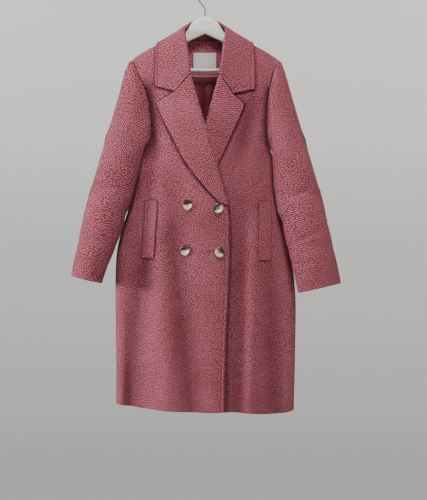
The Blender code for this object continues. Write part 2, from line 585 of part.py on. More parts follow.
def lapel_middle(side, skins):
    """The middle of a lapel's wall: it carries the front on past its edge, turns over and lies back on it."""
    column, inward, lift_of = ("right", 1, top_lift) if side < 0 else ("left", -1, lambda x, drop: 0.0)
    way = np.linspace(0, 1, LAPEL_ROWS)[:, None]
    roll_drop = GORGE + GORGE_GAP + (BREAK - LAPEL_END[column] - GORGE) * way
    roll_x = inward * curve(FRONT_EDGE, "out", roll_drop)
    radius = curve(LAPEL_ROLL, "radius", roll_drop)
    stand = curve(LAPEL_ROLL, column, roll_drop)
    start = body_point(roll_x, roll_drop, lift=lift_of(roll_x, roll_drop))
    middle_y = start[..., 1] + TWEED / 2
    turn_x = roll_x + inward * (ROLL_GAP * (1 + (1 - way) ** 4) + radius * np.cos(TURN_COLUMNS))
    turn_y = middle_y - radius * (1 + np.sin(TURN_COLUMNS))
    turned = np.stack([turn_x, turn_y, -roll_drop + 0 * turn_x], axis=-1)
    edge_low = LAPEL_EDGE["drop"][-1] - LAPEL_END[column] + LAPEL_END["right"]
    edge_top = LAPEL_TIP[column]
    edge_drop = edge_top + (edge_low - edge_top) * way
    edge_x = curve(LAPEL_EDGE, column, edge_drop)
    first_x = turn_x[:, -1:]
    x = first_x + (edge_x - first_x) * LEAF_COLUMNS
    drop = roll_drop + (edge_drop - roll_drop) * LEAF_COLUMNS
    notch_x, notch_drop = NOTCH[column]
    part = (notch_x - first_x[0, 0]) / (edge_x[0, 0] - first_x[0, 0])
    straight = roll_drop[0, 0] + (edge_top - roll_drop[0, 0]) * part
    bend = np.where(LEAF_COLUMNS < part, LEAF_COLUMNS / part, (1 - LEAF_COLUMNS) / (1 - part))
    drop = drop + (notch_drop - straight) * bend * (1 - way) ** 3
    face = body_point(x, drop, lift=lift_of(x, drop), ridges_only=True)
    rise = step(0, 1, LEAF_COLUMNS)
    off = (2 * radius - TWEED / 2) * (1 - rise) + (TURNED / 2 + stand) * rise
    face[..., 1] -= off
    return np.concatenate([turned, keep_off(face, skins, TURNED / 2 + LEAF_GAP)], axis=1)


def build_lapels(skins):
    """The two lapels, each turned back on its own front."""
    for name, side in (("lapel_right", -1), ("lapel_left", 1)):
        front = skins["front_right" if side < 0 else "front_left"]
        outer, inner = thick(lapel_middle(side, [front]), TURNED, outward=side)
        wall(name, outer, inner, "tweed_turned")


def collar_section(side, row):
    """One section of the collar's middle: up from the neck seam, round the fold, and down as the leaf."""
    column = "right" if side < 0 else "left"
    behind = row["seam_back"]
    lift = top_lift(side * row["seam_out"], row["seam_drop"]) if side < 0 and behind <= 0 else 0.0
    seam = body_point(side * row["seam_out"], row["seam_drop"], back=behind > 0, lift=lift)
    down = row["seam_drop"] - curve(SHOULDER, "drop", row["seam_out"], key="out")
    left = 1 - np.clip(down / SHOULDER_ROUND, 0, 1)
    normal = np.array([0, behind * np.sqrt(1 - left**2) / SHOULDER_DEEP, left / SHOULDER_ROUND])
    normal /= np.linalg.norm(normal)
    seam = seam - normal * TWEED / 2
    fold = np.array([side * row["fold_out"], row["fold_y"], -row["fold_drop"]])
    if row["at_gorge"]:
        fold[1] = seam[1]
    up = (fold - seam) / np.linalg.norm(fold - seam)
    over = normal - up * (normal @ up)
    over /= np.linalg.norm(over)
    start = seam + up * COLLAR_GAP
    foot = fold - up * FOLD_RADIUS
    turn = np.radians([0, 45, 90, 135, 180])[:, None]
    arc = foot + over * FOLD_RADIUS * (1 - np.cos(turn)) + up * FOLD_RADIUS * np.sin(turn)
    out, drop = CORNER[column] if row["at_gorge"] else (row["edge_out"], row["edge_drop"])
    wrap = row["edge_wrap"]
    rest = TURNED / 2 + COLLAR_REST
    if wrap:
        edge = body_point(side * out, drop, back=wrap > 0, ridges_only=True) + (0, wrap * rest, 0)
    else:
        edge = body_point(side * out, curve(SHOULDER, "drop", out, key="out")) + (0, 0, rest + RIDGE_REST)
    reach = edge - arc[-1]
    length = np.linalg.norm(reach)
    t = LEAF_WAYS[:, None]
    spring = up * length * LEAF_SPRING
    leaf = ((2 * t**3 - 3 * t**2 + 1) * arc[-1] - (t**3 - 2 * t**2 + t) * spring
            + (3 * t**2 - 2 * t**3) * edge + (t**3 - t**2) * reach)
    return np.concatenate([[start, (start + foot) / 2], arc, leaf])


def collar_middle(skins):
    """The middle of the collar's wall, from its right front end round the neck to its left one.

    Its ends bend down to the notch, so that they meet the lapels along the gorge.
    """
    rows = [dict(zip(COLLAR, values)) for values in zip(*COLLAR.values())]
    halves = [np.array([collar_section(side, row) for row in rows]) for side in (-1, 1)]
    for half, column in zip(halves, ("right", "left")):
        notch_x, notch_drop = NOTCH[column]
        first, last = half[-1, 6], half[-1, -1]
        part = (notch_x - first[0]) / (last[0] - first[0])
        across = (half[-1, 6:, 0] - first[0]) / (last[0] - first[0])
        bend = np.where(across < part, across / part, (1 - across) / (1 - part))
        down = notch_drop - SEAM * 2 + first[2] + (last[2] - first[2]) * part
        for back, share in ((1, 1.0), (2, 0.30), (3, 0.05)):
            half[-back, 6:, 2] -= bend * down * share
    keys = np.concatenate([halves[0][:0:-1], halves[1]])
    grid = through(keys, np.linspace(0, len(keys) - 1, 2 * len(keys) - 1))
    grid[:, 8:] = keep_off(grid[:, 8:], skins, TURNED / 2 + LEAF_GAP)
    return grid


def build_collar(skins):
    """The collar: its stand, its fold and its leaf in one wall round the neck."""
    shell = [skins[name] for name in ("front_right", "front_left", "back")]
    outer, inner = thick(collar_middle(shell), COLLAR_WALL, outward=-1)
    wall("collar", outer, inner, "tweed_turned")


# ---------------------------------------------------------------- pieces on and in the shell
def build_pockets(skins):
    """The welts, whose free edges are on the outer side. Each takes the front's own face, moved out."""
    for side, top, low, top_in, low_in, wide in zip(*POCKETS.values()):
        down = np.linspace(0, 1, 7)[:, None]
        over = np.linspace(0, 1, 4)[None]
        x = side * (top_in + (low_in - top_in) * down + wide * over)
        drop = top + (low - top) * down + 0 * over
        front = "front_right" if side < 0 else "front_left"
        face = body_point(x, drop, lift=top_lift(x, drop) if side < 0 else 0.0)
        under = keep_off(face, [skins[front]], WELT_REST)
        name = "pocket_right" if side < 0 else "pocket_left"
        wall(name, under - (0, WELT, 0), under, "tweed_turned")


def button_rings():
    """A horn button about Z as a turned profile: a raised rim round a shallow dish, and a thread stem behind."""
    r, t = BUTTON_RADIUS, BUTTON_THICK
    profile = [(r * 0.45, t - BUTTON_DISH), (r * 0.70, t - BUTTON_DISH / 2), (r * 0.80, t), (r * 0.92, t),
               (r, t - BUTTON_EDGE), (r, BUTTON_EDGE), (r * 0.86, 0.0), (STEM_RADIUS, 0.0),
               (STEM_RADIUS, -BUTTON_STEM)]
    turn = np.linspace(0, 2 * pi, 16, endpoint=False)
    return np.array([[(radius * cos(a), radius * sin(a), z) for a in turn] for radius, z in profile])


def build_buttons(skins):
    """Two rows of two on the top front. The upper left one, at the lapel's foot, is tipped."""
    for index, (x, drop, tip) in enumerate(zip(*BUTTONS.values())):
        place = body_point(x, drop, lift=top_lift(x, drop))
        span = BUTTON_SPAN
        corners = [body_point(x + right, drop - up, lift=top_lift(x + right, drop - up))
                   for right, up in ((-span, 0), (span, 0), (0, -span), (0, span))]
        normal = np.cross(corners[1] - corners[0], corners[3] - corners[2])
        normal = normal / np.linalg.norm(normal) + (0, 0, sin(radians(tip)))
        normal /= np.linalg.norm(normal)
        right = np.cross((0, 0, 1.0), normal)
        right /= -np.linalg.norm(right)
        up = np.cross(right, normal)
        foot = keep_off(place[None], [skins["front_right"]], BUTTON_GAP)[0]
        rings = button_rings()
        rings[..., 2] += BUTTON_STEM
        rings = foot + rings[..., :1] * right + rings[..., 1:2] * up + rings[..., 2:] * normal
        solid_rings(f"button_{index + 1}", rings, "horn")


def inside_back(name, x, top, low, rows, clear, thickness, finish, skins, wave=0.0):
    """A wall inside the back, between two lines of drop, with soft upright ripples where it has a wave."""
    down = np.linspace(0, 1, rows)[:, None]
    drop = top + (low - top) * down
    behind = body_point(x + 0 * down, drop, back=True) - (0, TWEED, 0)
    behind = keep_off(behind, [skins["back_inside"]], clear)
    phase = x * 2 * pi / RIPPLE + 0.8 * np.sin(20 * drop)
    behind[..., 1] -= wave * (1 + np.sin(phase)) * step(0, 0.3, down)
    wall(name, behind - (0, thickness, 0), behind, finish)


def build_neck_inside(skins):
    """What shows in the neck: the tweed facing of the back, the satin below it and the bare label."""
    x = np.linspace(-FACING_HALF, FACING_HALF, 11)[None]
    top = curve(BACK_NECK, "drop", np.abs(x), key="out") + FACING_DOWN
    low = curve(NECK_FACING, "low", np.abs(x), key="out")
    inside_back("neck_facing", x, top, low, 5, INSIDE_GAP, FACING, "tweed_turned", skins)
    x = np.linspace(-LINING_HALF, LINING_HALF, 21)[None]
    top = curve(NECK_FACING, "low", np.abs(x), key="out") + 2 * SEAM
    low = LINING_LOW + 0 * x
    inside_back("back_lining", x, top, low, 7, INSIDE_GAP, SATIN, "satin", skins, wave=RIPPLE_DEEP)
    x = np.linspace(LABEL["left"], LABEL["right"], 5)[None]
    top, low = LABEL["top"] + 0 * x, LABEL["low"] + 0 * x
    inside_back("neck_label", x, top, low, 3, FACING + 2 * INSIDE_GAP, SATIN, "label_cloth", skins)


# ---------------------------------------------------------------- the hanger
def build_hanger():
    """The flat wooden hanger: rounded sections from one end of its arms to the other."""
    turn = np.linspace(0, 2 * pi, HANGER_SIDES, endpoint=False)
    across, along = (np.sign(wave) * np.abs(wave) ** HANGER_SQUARE for wave in (np.cos(turn), np.sin(turn)))
    rings = []
    for out in np.concatenate([-HANGER["out"][:0:-1], HANGER["out"]]):
        top, low, deep = (curve(HANGER, name, abs(out), key="out") for name in ("top", "low", "deep"))
        up = (low - top) / 2 * along - (top + low) / 2
        rings.append(np.stack([out + 0 * turn, deep * across, up], axis=-1))
    solid_rings("hanger_body", np.array(rings), "hanger_paint")
    bpy.ops.mesh.primitive_cylinder_add(vertices=16, radius=BAR_RADIUS, depth=2 * BAR_HALF,
                                        location=(0, HANGER_PLANE, -BAR_DROP), rotation=(0, pi / 2, 0))
    take("hanger_bar", "hanger_paint")


def take(name, finish):
    """Names the active object, gives it its finish and moves it into the coat's collection."""
    made = bpy.context.object
    made.name = made.data.name = name
    for collection in list(made.users_collection):
        collection.objects.unlink(made)
    bpy.data.collections["coat"].objects.link(made)
    made.data.materials.clear()
    made.data.materials.append(material(finish))
    made.data.shade_smooth()
    made.data.set_sharp_from_angle(angle=radians(40))


def build_hook():
    """The wire hook: up out of the hanger, out to the left and round over the rail."""
    centre = WIRE - HOOK_RADIUS
    stem = [(x, -drop) for x, drop in zip(*HOOK_STEM.values())]
    turn = np.radians(np.linspace(*HOOK_TURN, 17))
    points = stem + [(HOOK_RADIUS * cos(a), centre + HOOK_RADIUS * sin(a)) for a in turn]
    line = bpy.data.curves.new("hanger_hook", "CURVE")
    line.dimensions = "3D"
    spline = line.splines.new("POLY")
    spline.points.add(len(points) - 1)
    for point, (x, z) in zip(spline.points, points):
        point.co = (x, HANGER_PLANE, z, 1)
    line.bevel_depth = WIRE
    line.bevel_resolution = 2
    line.use_fill_caps = True
    add_object("hanger_hook", line, "hook_steel")


def main():
    """Clears the scene and builds the coat's pieces, each group from the faces that it lies on."""
    for leftover in list(bpy.data.objects):
        bpy.data.objects.remove(leftover)
    collection = bpy.data.collections.new("coat")
    bpy.context.scene.collection.children.link(collection)
    skins = build_shell()
    build_sleeves(skins)
    build_lapels(skins)
    build_collar(skins)
    build_pockets(skins)
    build_buttons(skins)
    build_neck_inside(skins)
    build_hanger()
    build_hook()


main()
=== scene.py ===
"""A long double-breasted tweed coat on a hanger, finished: cloth, stitching, lining, horn buttons, hanger
and hook.

The frame has +Z up, the coat's front faces -Y, and the origin is the inner top of the hanger's hook. A drop
is a distance below the origin. "Right" and "left" are the wearer's. The coat is made from the same sizes
and formulas as its plain solids, on finer grids, with rounded edges, stitched margins and small creases.
"""
from math import cos, pi, radians, sin

import bpy
import numpy as np
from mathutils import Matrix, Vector


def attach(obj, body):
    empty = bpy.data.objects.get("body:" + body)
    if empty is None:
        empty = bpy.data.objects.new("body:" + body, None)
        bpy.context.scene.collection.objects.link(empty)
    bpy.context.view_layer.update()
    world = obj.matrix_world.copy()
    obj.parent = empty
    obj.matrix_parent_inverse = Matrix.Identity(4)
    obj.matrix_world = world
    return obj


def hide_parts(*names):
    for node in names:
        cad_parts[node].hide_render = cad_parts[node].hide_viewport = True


bl_info = {
    "name": "Tweed Coat on a Hanger",
    "version": (1, 0, 0),
    "blender": (4, 5, 0),
    "location": "View3D > Sidebar > Coat",
    "description": "Makes a long double-breasted tweed coat hanging on a hanger, piece by piece",
    "category": "Add Mesh",
}

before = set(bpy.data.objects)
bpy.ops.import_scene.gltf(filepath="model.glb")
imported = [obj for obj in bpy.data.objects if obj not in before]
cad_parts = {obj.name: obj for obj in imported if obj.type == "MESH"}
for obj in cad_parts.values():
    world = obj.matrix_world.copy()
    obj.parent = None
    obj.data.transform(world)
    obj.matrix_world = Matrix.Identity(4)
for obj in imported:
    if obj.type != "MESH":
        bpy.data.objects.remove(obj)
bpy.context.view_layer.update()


BODY_NAME = "root"


# ---------------------------------------------------------------- sizes, in metres
TWEED = 0.0030           # wall of the shell's tweed
TURNED = 0.0040          # wall of a lapel and of the collar, which are two layers pressed together
SEAM = 0.0003            # gap between pieces at a seam
SATIN = 0.0010           # wall of the lining and of the label
SLEEVE_GAP = 0.0008      # gap between the armhole's edge and the sleeve's head

UNDERARM = 0.494         # drop of the armhole's lowest point
SWING = 0.410            # drop at which the armhole seam swings out to it
SHOULDER_END = 0.210     # drop of the shoulder seam at the armhole
SHOULDER_ROUND = 0.055   # height over which the cloth rounds over the shoulder
HANGER_PLANE = 0.0       # y of the hanger and of the shoulder seam
FRONT_LIFT = 0.0052      # how far the top front lies in front of the under front
LAPEL_LIFT = 0.0085      # and how much further it is pushed out where it covers the under lapel


def table(columns, *rows):
    """A short table as arrays by column name."""
    return dict(zip(columns.split(), np.array(rows, dtype=float).T))


# The line of the shoulder from the middle out. Inside the neck it only carries the surface on.
SHOULDER = table("out drop", (0.000, 0.105), (0.040, 0.1255), (0.075, 0.143), (0.115, 0.1605), (0.157, 0.180),
                 (0.206, 0.210), (0.240, 0.236))
# The seam of the collar across the back of the neck.
BACK_NECK = table("out drop", (0.000, 0.152), (0.040, 0.1495), (0.075, 0.143))
NECK_POINT = 0.075       # where the shoulder seam meets the collar

# The body's section by its drop: half widths at the wearer's right and left, the radius of the side's turn,
# how far the front and the back crown out past that turn, and how far behind the hanger the side seam lies.
BODY = table("drop right left turn front back side",
             (0.100, 0.212, 0.212, 0.020, 0.016, 0.004, 0.004),
             (0.210, 0.210, 0.210, 0.020, 0.022, 0.006, 0.006),
             (0.360, 0.204, 0.206, 0.020, 0.036, 0.008, 0.010),
             (0.494, 0.198, 0.201, 0.020, 0.041, 0.008, 0.014),
             (0.571, 0.200, 0.199, 0.020, 0.042, 0.008, 0.015),
             (0.630, 0.217, 0.214, 0.020, 0.042, 0.008, 0.015),
             (0.690, 0.236, 0.227, 0.020, 0.043, 0.008, 0.015),
             (0.745, 0.250, 0.239, 0.020, 0.043, 0.007, 0.015),
             (0.800, 0.255, 0.250, 0.021, 0.044, 0.007, 0.015),
             (0.880, 0.256, 0.258, 0.022, 0.045, 0.006, 0.015),
             (1.000, 0.255, 0.258, 0.024, 0.047, 0.005, 0.014),
             (1.100, 0.254, 0.256, 0.025, 0.048, 0.005, 0.013),
             (1.220, 0.255, 0.253, 0.027, 0.050, 0.004, 0.012))

# The armhole seam from the shoulder's end to the underarm: its distance out on each front and on the back.
ARMHOLE = table("drop right left back",
                (0.210, 0.206, 0.206, 0.206), (0.2565, 0.186, 0.190, 0.194), (0.300, 0.167, 0.180, 0.186),
                (0.361, 0.154, 0.174, 0.180), (0.410, 0.150, 0.173, 0.180))

# The inner edge of a front: neckline, roll line of the lapel, then the free front edge below the break.
FRONT_EDGE = table("drop out",
                   (0.143, -0.075), (0.190, -0.061), (0.230, -0.053), (0.263, -0.047), (0.320, -0.031),
                   (0.380, -0.013), (0.440, 0.004), (0.4985, 0.022), (0.560, 0.041), (0.600, 0.053),
                   (0.640, 0.0645), (0.720, 0.0685), (0.893, 0.0640), (1.027, 0.0580), (1.220, 0.0540))
BREAK = 0.640            # drop at which the lapel leaves the front edge
GORGE = 0.263            # drop at which the collar meets the lapel on the roll line

# The hem's drop across the coat, from the wearer's right to the left.
HEM = table("x drop", (-0.255, 1.190), (-0.180, 1.197), (-0.100, 1.203), (0.000, 1.207), (0.060, 1.206),
            (0.140, 1.212), (0.200, 1.215), (0.255, 1.208))

# Soft folds: a line from its top to its foot, how wide and how deep it is (a trough is negative), and 1 where
# it runs out before the hem.
FRONT_FOLDS = table("top_x top foot_x foot half_width depth ends",
                    (-0.104, 0.500, -0.034, 1.160, 0.036, -0.016, 0),
                    (-0.138, 0.520, -0.112, 1.160, 0.030, 0.008, 0),
                    (-0.176, 0.760, -0.206, 1.150, 0.028, -0.014, 0),
                    (-0.150, 0.300, -0.140, 0.520, 0.020, -0.013, 1),
                    (0.137, 0.330, 0.092, 0.520, 0.020, -0.015, 1),
                    (0.145, 0.420, 0.128, 1.100, 0.028, 0.007, 0),
                    (0.100, 0.620, 0.092, 1.180, 0.026, -0.012, 0),
                    (0.184, 0.800, 0.196, 1.180, 0.024, -0.012, 0))
BACK_FOLDS = table("top_x top foot_x foot half_width depth ends",
                   (-0.120, 0.420, -0.150, 1.160, 0.034, -0.006, 0),
                   (-0.050, 0.560, -0.062, 1.180, 0.030, 0.005, 0),
                   (0.058, 0.600, 0.072, 1.180, 0.032, -0.005, 0),
                   (0.130, 0.440, 0.158, 1.160, 0.030, 0.006, 0))

# Each sleeve from the elbow down: the centre of a ring, its half widths across and deep, and its lean from
# the vertical in degrees.
SLEEVE_RIGHT = table("drop out y across deep lean",
                     (0.560, 0.2540, -0.014, 0.0600, 0.0450, 13.0),
                     (0.690, 0.2910, -0.030, 0.0565, 0.0450, 16.0),
                     (0.785, 0.3200, -0.040, 0.0485, 0.0460, 16.0),
                     (0.834, 0.3330, -0.042, 0.0450, 0.0465, 14.0))
SLEEVE_LEFT = table("drop out y across deep lean",
                    (0.575, 0.2560, -0.016, 0.0630, 0.0440, 13.0),
                    (0.690, 0.2830, -0.036, 0.0630, 0.0370, 14.0),
                    (0.790, 0.3070, -0.050, 0.0630, 0.0290, 13.5),
                    (0.858, 0.3210, -0.053, 0.0620, 0.0240, 13.0))
# Creases round a sleeve: the way down it from the armhole to the cuff, its middle in degrees from the top
# round by the front, its half length in degrees, its half width along the sleeve, its slant and its depth.
SLEEVE_FOLDS = table("along round reach half_width slant depth",
                     (0.34, 120, 70, 0.035, 0.05, -0.0050), (0.52, 60, 60, 0.030, -0.04, -0.0045),
                     (0.64, 150, 60, 0.030, 0.05, -0.0040), (0.80, 70, 70, 0.030, -0.03, -0.0035),
                     (0.56, 260, 80, 0.035, 0.05, -0.0045))

# The lapels' outer edges from the tip down to the break, by drop, and each one's tip and inner notch corner.
LAPEL_EDGE = table("drop right left",
                   (0.3370, -0.1355, 0.1130), (0.380, -0.1190, 0.0960), (0.4395, -0.0895, 0.0690),
                   (0.505, -0.0545, 0.0390), (0.560, -0.0130, 0.0080), (0.590, 0.0130, -0.0140),
                   (0.620, 0.0420, -0.0430))
LAPEL_END = {"right": 0.016, "left": 0.030}   # how far above the break each lapel runs out
LAPEL_TIP = {"right": 0.3370, "left": 0.3430}
GORGE_GAP = 0.0012       # between the collar's end and the lapel's top edge
LEAF_GAP = 0.0012        # least gap between a turned-back leaf and the cloth under it
NOTCH = {"right": (-0.0840, 0.3080), "left": (0.0790, 0.3160)}
LAPEL_ROLL = table("drop radius right left",
                   (0.263, 0.0050, 0.0060, 0.0040), (0.340, 0.0050, 0.0090, 0.0050),
                   (0.400, 0.0046, 0.0085, 0.0022), (0.560, 0.0036, 0.0040, 0.0018),
                   (0.640, 0.0034, 0.0025, 0.0018))

# The collar from the middle of the back to its front end: its seam to the neck (seam_back is 1 behind the
# shoulder seam and -1 in front), its fold, and its leaf's outer edge. The last row is the end at the gorge,
# where the fold lies level with the front, and the leaf ends in its corner.
COLLAR = table("seam_out seam_drop seam_back fold_out fold_y fold_drop edge_out edge_drop edge_wrap at_gorge",
               (0.000, 0.1520, 1, 0.0000, 0.0270, 0.0930, 0.000, 0.1800, 1, 0),
               (0.030, 0.1505, 1, 0.0220, 0.0240, 0.0945, 0.050, 0.1790, 1, 0),
               (0.055, 0.1475, 1, 0.0380, 0.0170, 0.1010, 0.094, 0.1830, 1, 0),
               (0.068, 0.1450, 1, 0.0500, 0.0080, 0.1130, 0.124, 0.1860, 1, 0),
               (0.075, 0.1430, 0, 0.0560, -0.0060, 0.1290, 0.1365, 0.1745, 0, 0),
               (0.068, 0.1650, -1, 0.0550, -0.0230, 0.1500, 0.1385, 0.2000, -1, 0),
               (0.0605, 0.1930, -1, 0.0500, -0.0330, 0.1830, 0.1400, 0.2350, -1, 0),
               (0.0530, 0.2300, -1, 0.0440, -0.0390, 0.2240, 0.1410, 0.2660, -1, 0),
               (0.0475, 0.2610, -1, 0.0385, 0.0000, 0.2605, 0.141, 0.2890, -1, 1))
CORNER = {"right": (0.1410, 0.2890), "left": (0.1410, 0.2980)}
COLLAR_REST = 0.0020     # gap between the leaf's edge and the cloth it lies on,
RIDGE_REST = 0.0010      # and what is added to it on the ridge of the shoulder
COLLAR_GAP = 0.0024      # between the neck's edge and the middle of the stand's first edge
COLLAR_WALL = 0.0032
FOLD_RADIUS = 0.0054     # of the middle of the wall round the fold
LEAF_SPRING = 0.35       # how far the leaf carries on before it bends to the shoulder
SHOULDER_DEEP = 0.035    # depth of the neck's edge in front of or behind the shoulder seam, for its slope

POCKETS = table("side top low top_in low_in wide", (-1, 0.6130, 0.7740, 0.1345, 0.1440, 0.0345),
                (1, 0.6150, 0.7810, 0.1520, 0.1520, 0.0345))
BUTTONS = table("x drop tip", (-0.0460, 0.6255, 0), (0.0365, 0.6360, 8), (-0.0530, 0.7530, 0),
                (0.0410, 0.7590, 6))
WELT = 0.0038            # thickness of a pocket's welt
WELT_REST = 0.0012       # and its gap to the front
BUTTON_RADIUS = 0.0140
BUTTON_THICK = 0.0048
BUTTON_DISH = 0.0015     # depth of the dish inside the rim
BUTTON_STEM = 0.0026     # length of the thread stem,
BUTTON_GAP = 0.0007      # and its gap to the cloth
BUTTON_SPAN = 0.0100     # distance over which the cloth's slope is read under a button

NECK_FACING = table("out low", (0.000, 0.2560), (0.045, 0.2520), (0.085, 0.2380))
LINING_LOW = 0.450
LINING_HALF = 0.080
FACING_HALF = 0.060
FACING = 0.0020          # wall of the facing inside the neck
FACING_DOWN = 0.0040     # how far below the collar's seam it starts
INSIDE_GAP = 0.0004      # between what lies inside the back and the cloth behind it
RIPPLE = 0.034           # spacing of the lining's ripples,
RIPPLE_DEEP = 0.0018     # and half their depth
LABEL = {"left": -0.0330, "right": 0.0315, "top": 0.1880, "low": 0.2330}

HANGER = table("out top low deep",
               (0.000, 0.0890, 0.1385, 0.0062), (0.010, 0.0896, 0.1430, 0.0062),
               (0.022, 0.0940, 0.1485, 0.0062), (0.035, 0.1040, 0.1545, 0.0062),
               (0.048, 0.1250, 0.1605, 0.0062), (0.060, 0.1415, 0.1670, 0.0062),
               (0.075, 0.1492, 0.1740, 0.0062), (0.115, 0.1664, 0.1904, 0.0060),
               (0.157, 0.1864, 0.2104, 0.0056), (0.178, 0.1995, 0.2260, 0.0052),
               (0.188, 0.2070, 0.2470, 0.0050), (0.195, 0.2120, 0.2480, 0.0044),
               (0.199, 0.2180, 0.2430, 0.0030))
HANGER_SQUARE = 0.75     # and the power that squares it: 1 is an oval
BAR_DROP = 0.2414
BAR_RADIUS = 0.0046
BAR_HALF = 0.1827
WIRE = 0.0020            # radius of the hook's wire
HOOK_RADIUS = 0.0255     # of its centre line, so a rail of 40 mm fits
# The hook's stem from the hanger up to where the loop starts.
HOOK_STEM = table("x drop", (0.0000, 0.0887), (0.0002, 0.0800), (0.0000, 0.0700), (-0.0030, 0.0625),
                  (-0.0085, 0.0555), (-0.0155, 0.0465))
HOOK_TURN = (212, -28)   # where the loop starts and ends, in degrees


# ---------------------------------------------------------------- curves and surfaces
def curve(rows, column, at, key="drop"):
    """A table's column read along its key: a smooth cubic through the rows, held level past both ends."""
    keys, values = rows[key], rows[column]
    slopes = np.gradient(values, keys)
    at = np.clip(at, keys[0], keys[-1])
    index = np.clip(np.searchsorted(keys, at) - 1, 0, len(keys) - 2)
    span = keys[index + 1] - keys[index]
    t = (at - keys[index]) / span
    return ((2 * t**3 - 3 * t**2 + 1) * values[index] + (t**3 - 2 * t**2 + t) * span * slopes[index]
            + (3 * t**2 - 2 * t**3) * values[index + 1] + (t**3 - t**2) * span * slopes[index + 1])


def step(low, high, at):
    """A smooth step from 0 to 1."""
    t = np.clip((at - low) / (high - low), 0, 1)
    return t * t * (3 - 2 * t)


def folds(rows, x, drop):
    """The sum of the soft folds: each is a bell across its line, and fades in from its top."""
    total = np.zeros_like(x)
    for top_x, top, foot_x, foot, half_width, depth, ends in zip(*rows.values()):
        way = (drop - top) / (foot - top)
        middle = top_x + (foot_x - top_x) * np.clip(way, -0.2, 1.3)
        strength = step(-0.20, 0.30, way) * (1 - ends * step(0.6, 1.15, way))
        total += depth * strength * np.exp(-((x - middle) / half_width) ** 2)
    return total


def half_width(x, drop):
    """The body's half width on the side of x."""
    return np.where(x < 0, curve(BODY, "right", drop), curve(BODY, "left", drop))


def arc_to_side(x_side, drop):
    """The way across the cloth from the middle to the side seam."""
    turn = curve(BODY, "turn", drop)
    return half_width(x_side, drop) - turn + turn * pi / 2


def body_point(across, drop, back=False, lift=0.0, ridges_only=False):
    """A point of the body's outer face.

    across is measured over the cloth from the middle, so that it runs round the side's turn. The surface
    starts at the shoulder line in the hanger's plane, rounds over within SHOULDER_ROUND, and then hangs at
    its full depth.
    """
    across, drop = np.broadcast_arrays(np.asarray(across, float), np.asarray(drop, float))
    turn = curve(BODY, "turn", drop)
    half = half_width(across, drop)
    angle = np.clip((np.abs(across) - (half - turn)) / turn, 0, pi / 2)
    x = np.sign(across) * (np.minimum(np.abs(across), half - turn) + turn * np.sin(angle))
    below = np.clip(drop - curve(SHOULDER, "drop", np.abs(x), key="out"), 0, None)
    rounding = np.sqrt(1 - (1 - np.clip(below / SHOULDER_ROUND, 0, 1)) ** 2)
    crown = np.cos(pi / 2 * np.clip(np.abs(x) / half, 0, 1)) ** 1.3
    level = 1 - step(half - 1.6 * turn, half - 0.5 * turn, np.abs(x))
    raised = folds(BACK_FOLDS if back else FRONT_FOLDS, x, drop)
    raised = np.maximum(raised, 0) if ridges_only else raised
    full = curve(BODY, "back" if back else "front", drop)
    out = turn * np.cos(angle) + full * crown + level * raised + lift
    side = curve(BODY, "side", drop)
    y = HANGER_PLANE * (1 - rounding) + rounding * (side + out if back else side - out)
    return np.stack([x, y, -drop], axis=-1)


def top_lift(x, drop):
    """How far the right front lies in front of the left one: over its edge, and more over its lapel."""
    near = step(-0.160, -0.095, x)
    over_lapel = step(0.300, 0.390, drop) * (1 - step(0.640, 0.730, drop)) * step(-0.145, -0.080, x)
    return near * FRONT_LIFT + over_lapel * LAPEL_LIFT


def grid_normals(points, closed=False):
    """Unit normals of a grid of points from its two directions."""
    if closed:
        wrapped = np.concatenate([points[:, -1:], points, points[:, :1]], axis=1)
        across = np.gradient(wrapped, axis=1)[:, 1:-1]
    else:
        across = np.gradient(points, axis=1)
    normal = np.cross(across, np.gradient(points, axis=0))
    return normal / np.maximum(np.linalg.norm(normal, axis=-1, keepdims=True), 1e-12)


def through(rows, at):
    """A smooth cubic through rows of points, read at places given in rows."""
    index = np.clip(np.floor(at).astype(int), 0, len(rows) - 2)
    t = (at - index).reshape((-1,) + (1,) * (rows.ndim - 1))
    slopes = np.gradient(rows, axis=0)
    return ((2 * t**3 - 3 * t**2 + 1) * rows[index] + (t**3 - 2 * t**2 + t) * slopes[index]
            + (3 * t**2 - 2 * t**3) * rows[index + 1] + (t**3 - t**2) * slopes[index + 1])


def path_ways(path):
    """How far each point of a path lies along it from the first."""
    return np.concatenate([[0], np.linalg.norm(np.diff(path, axis=0), axis=1).cumsum()])


# ---------------------------------------------------------------- fine grids
def spaced(length, pitch, start=(), end=()):
    """Fractions of a length from 0 to 1: even steps of about the pitch between close steps given at either
    end, which round its edges and shape its stitched margins. The close steps are in metres."""
    first, last = (max(near, default=0.0) for near in (start, end))
    middle = np.linspace(first, length - last, max(int((length - first - last) / pitch), 2) + 1)
    places = np.concatenate([[0.0], start, middle, length - np.array(end or (0.0,)), [length]])
    return np.unique(np.round(places, 7)) / length


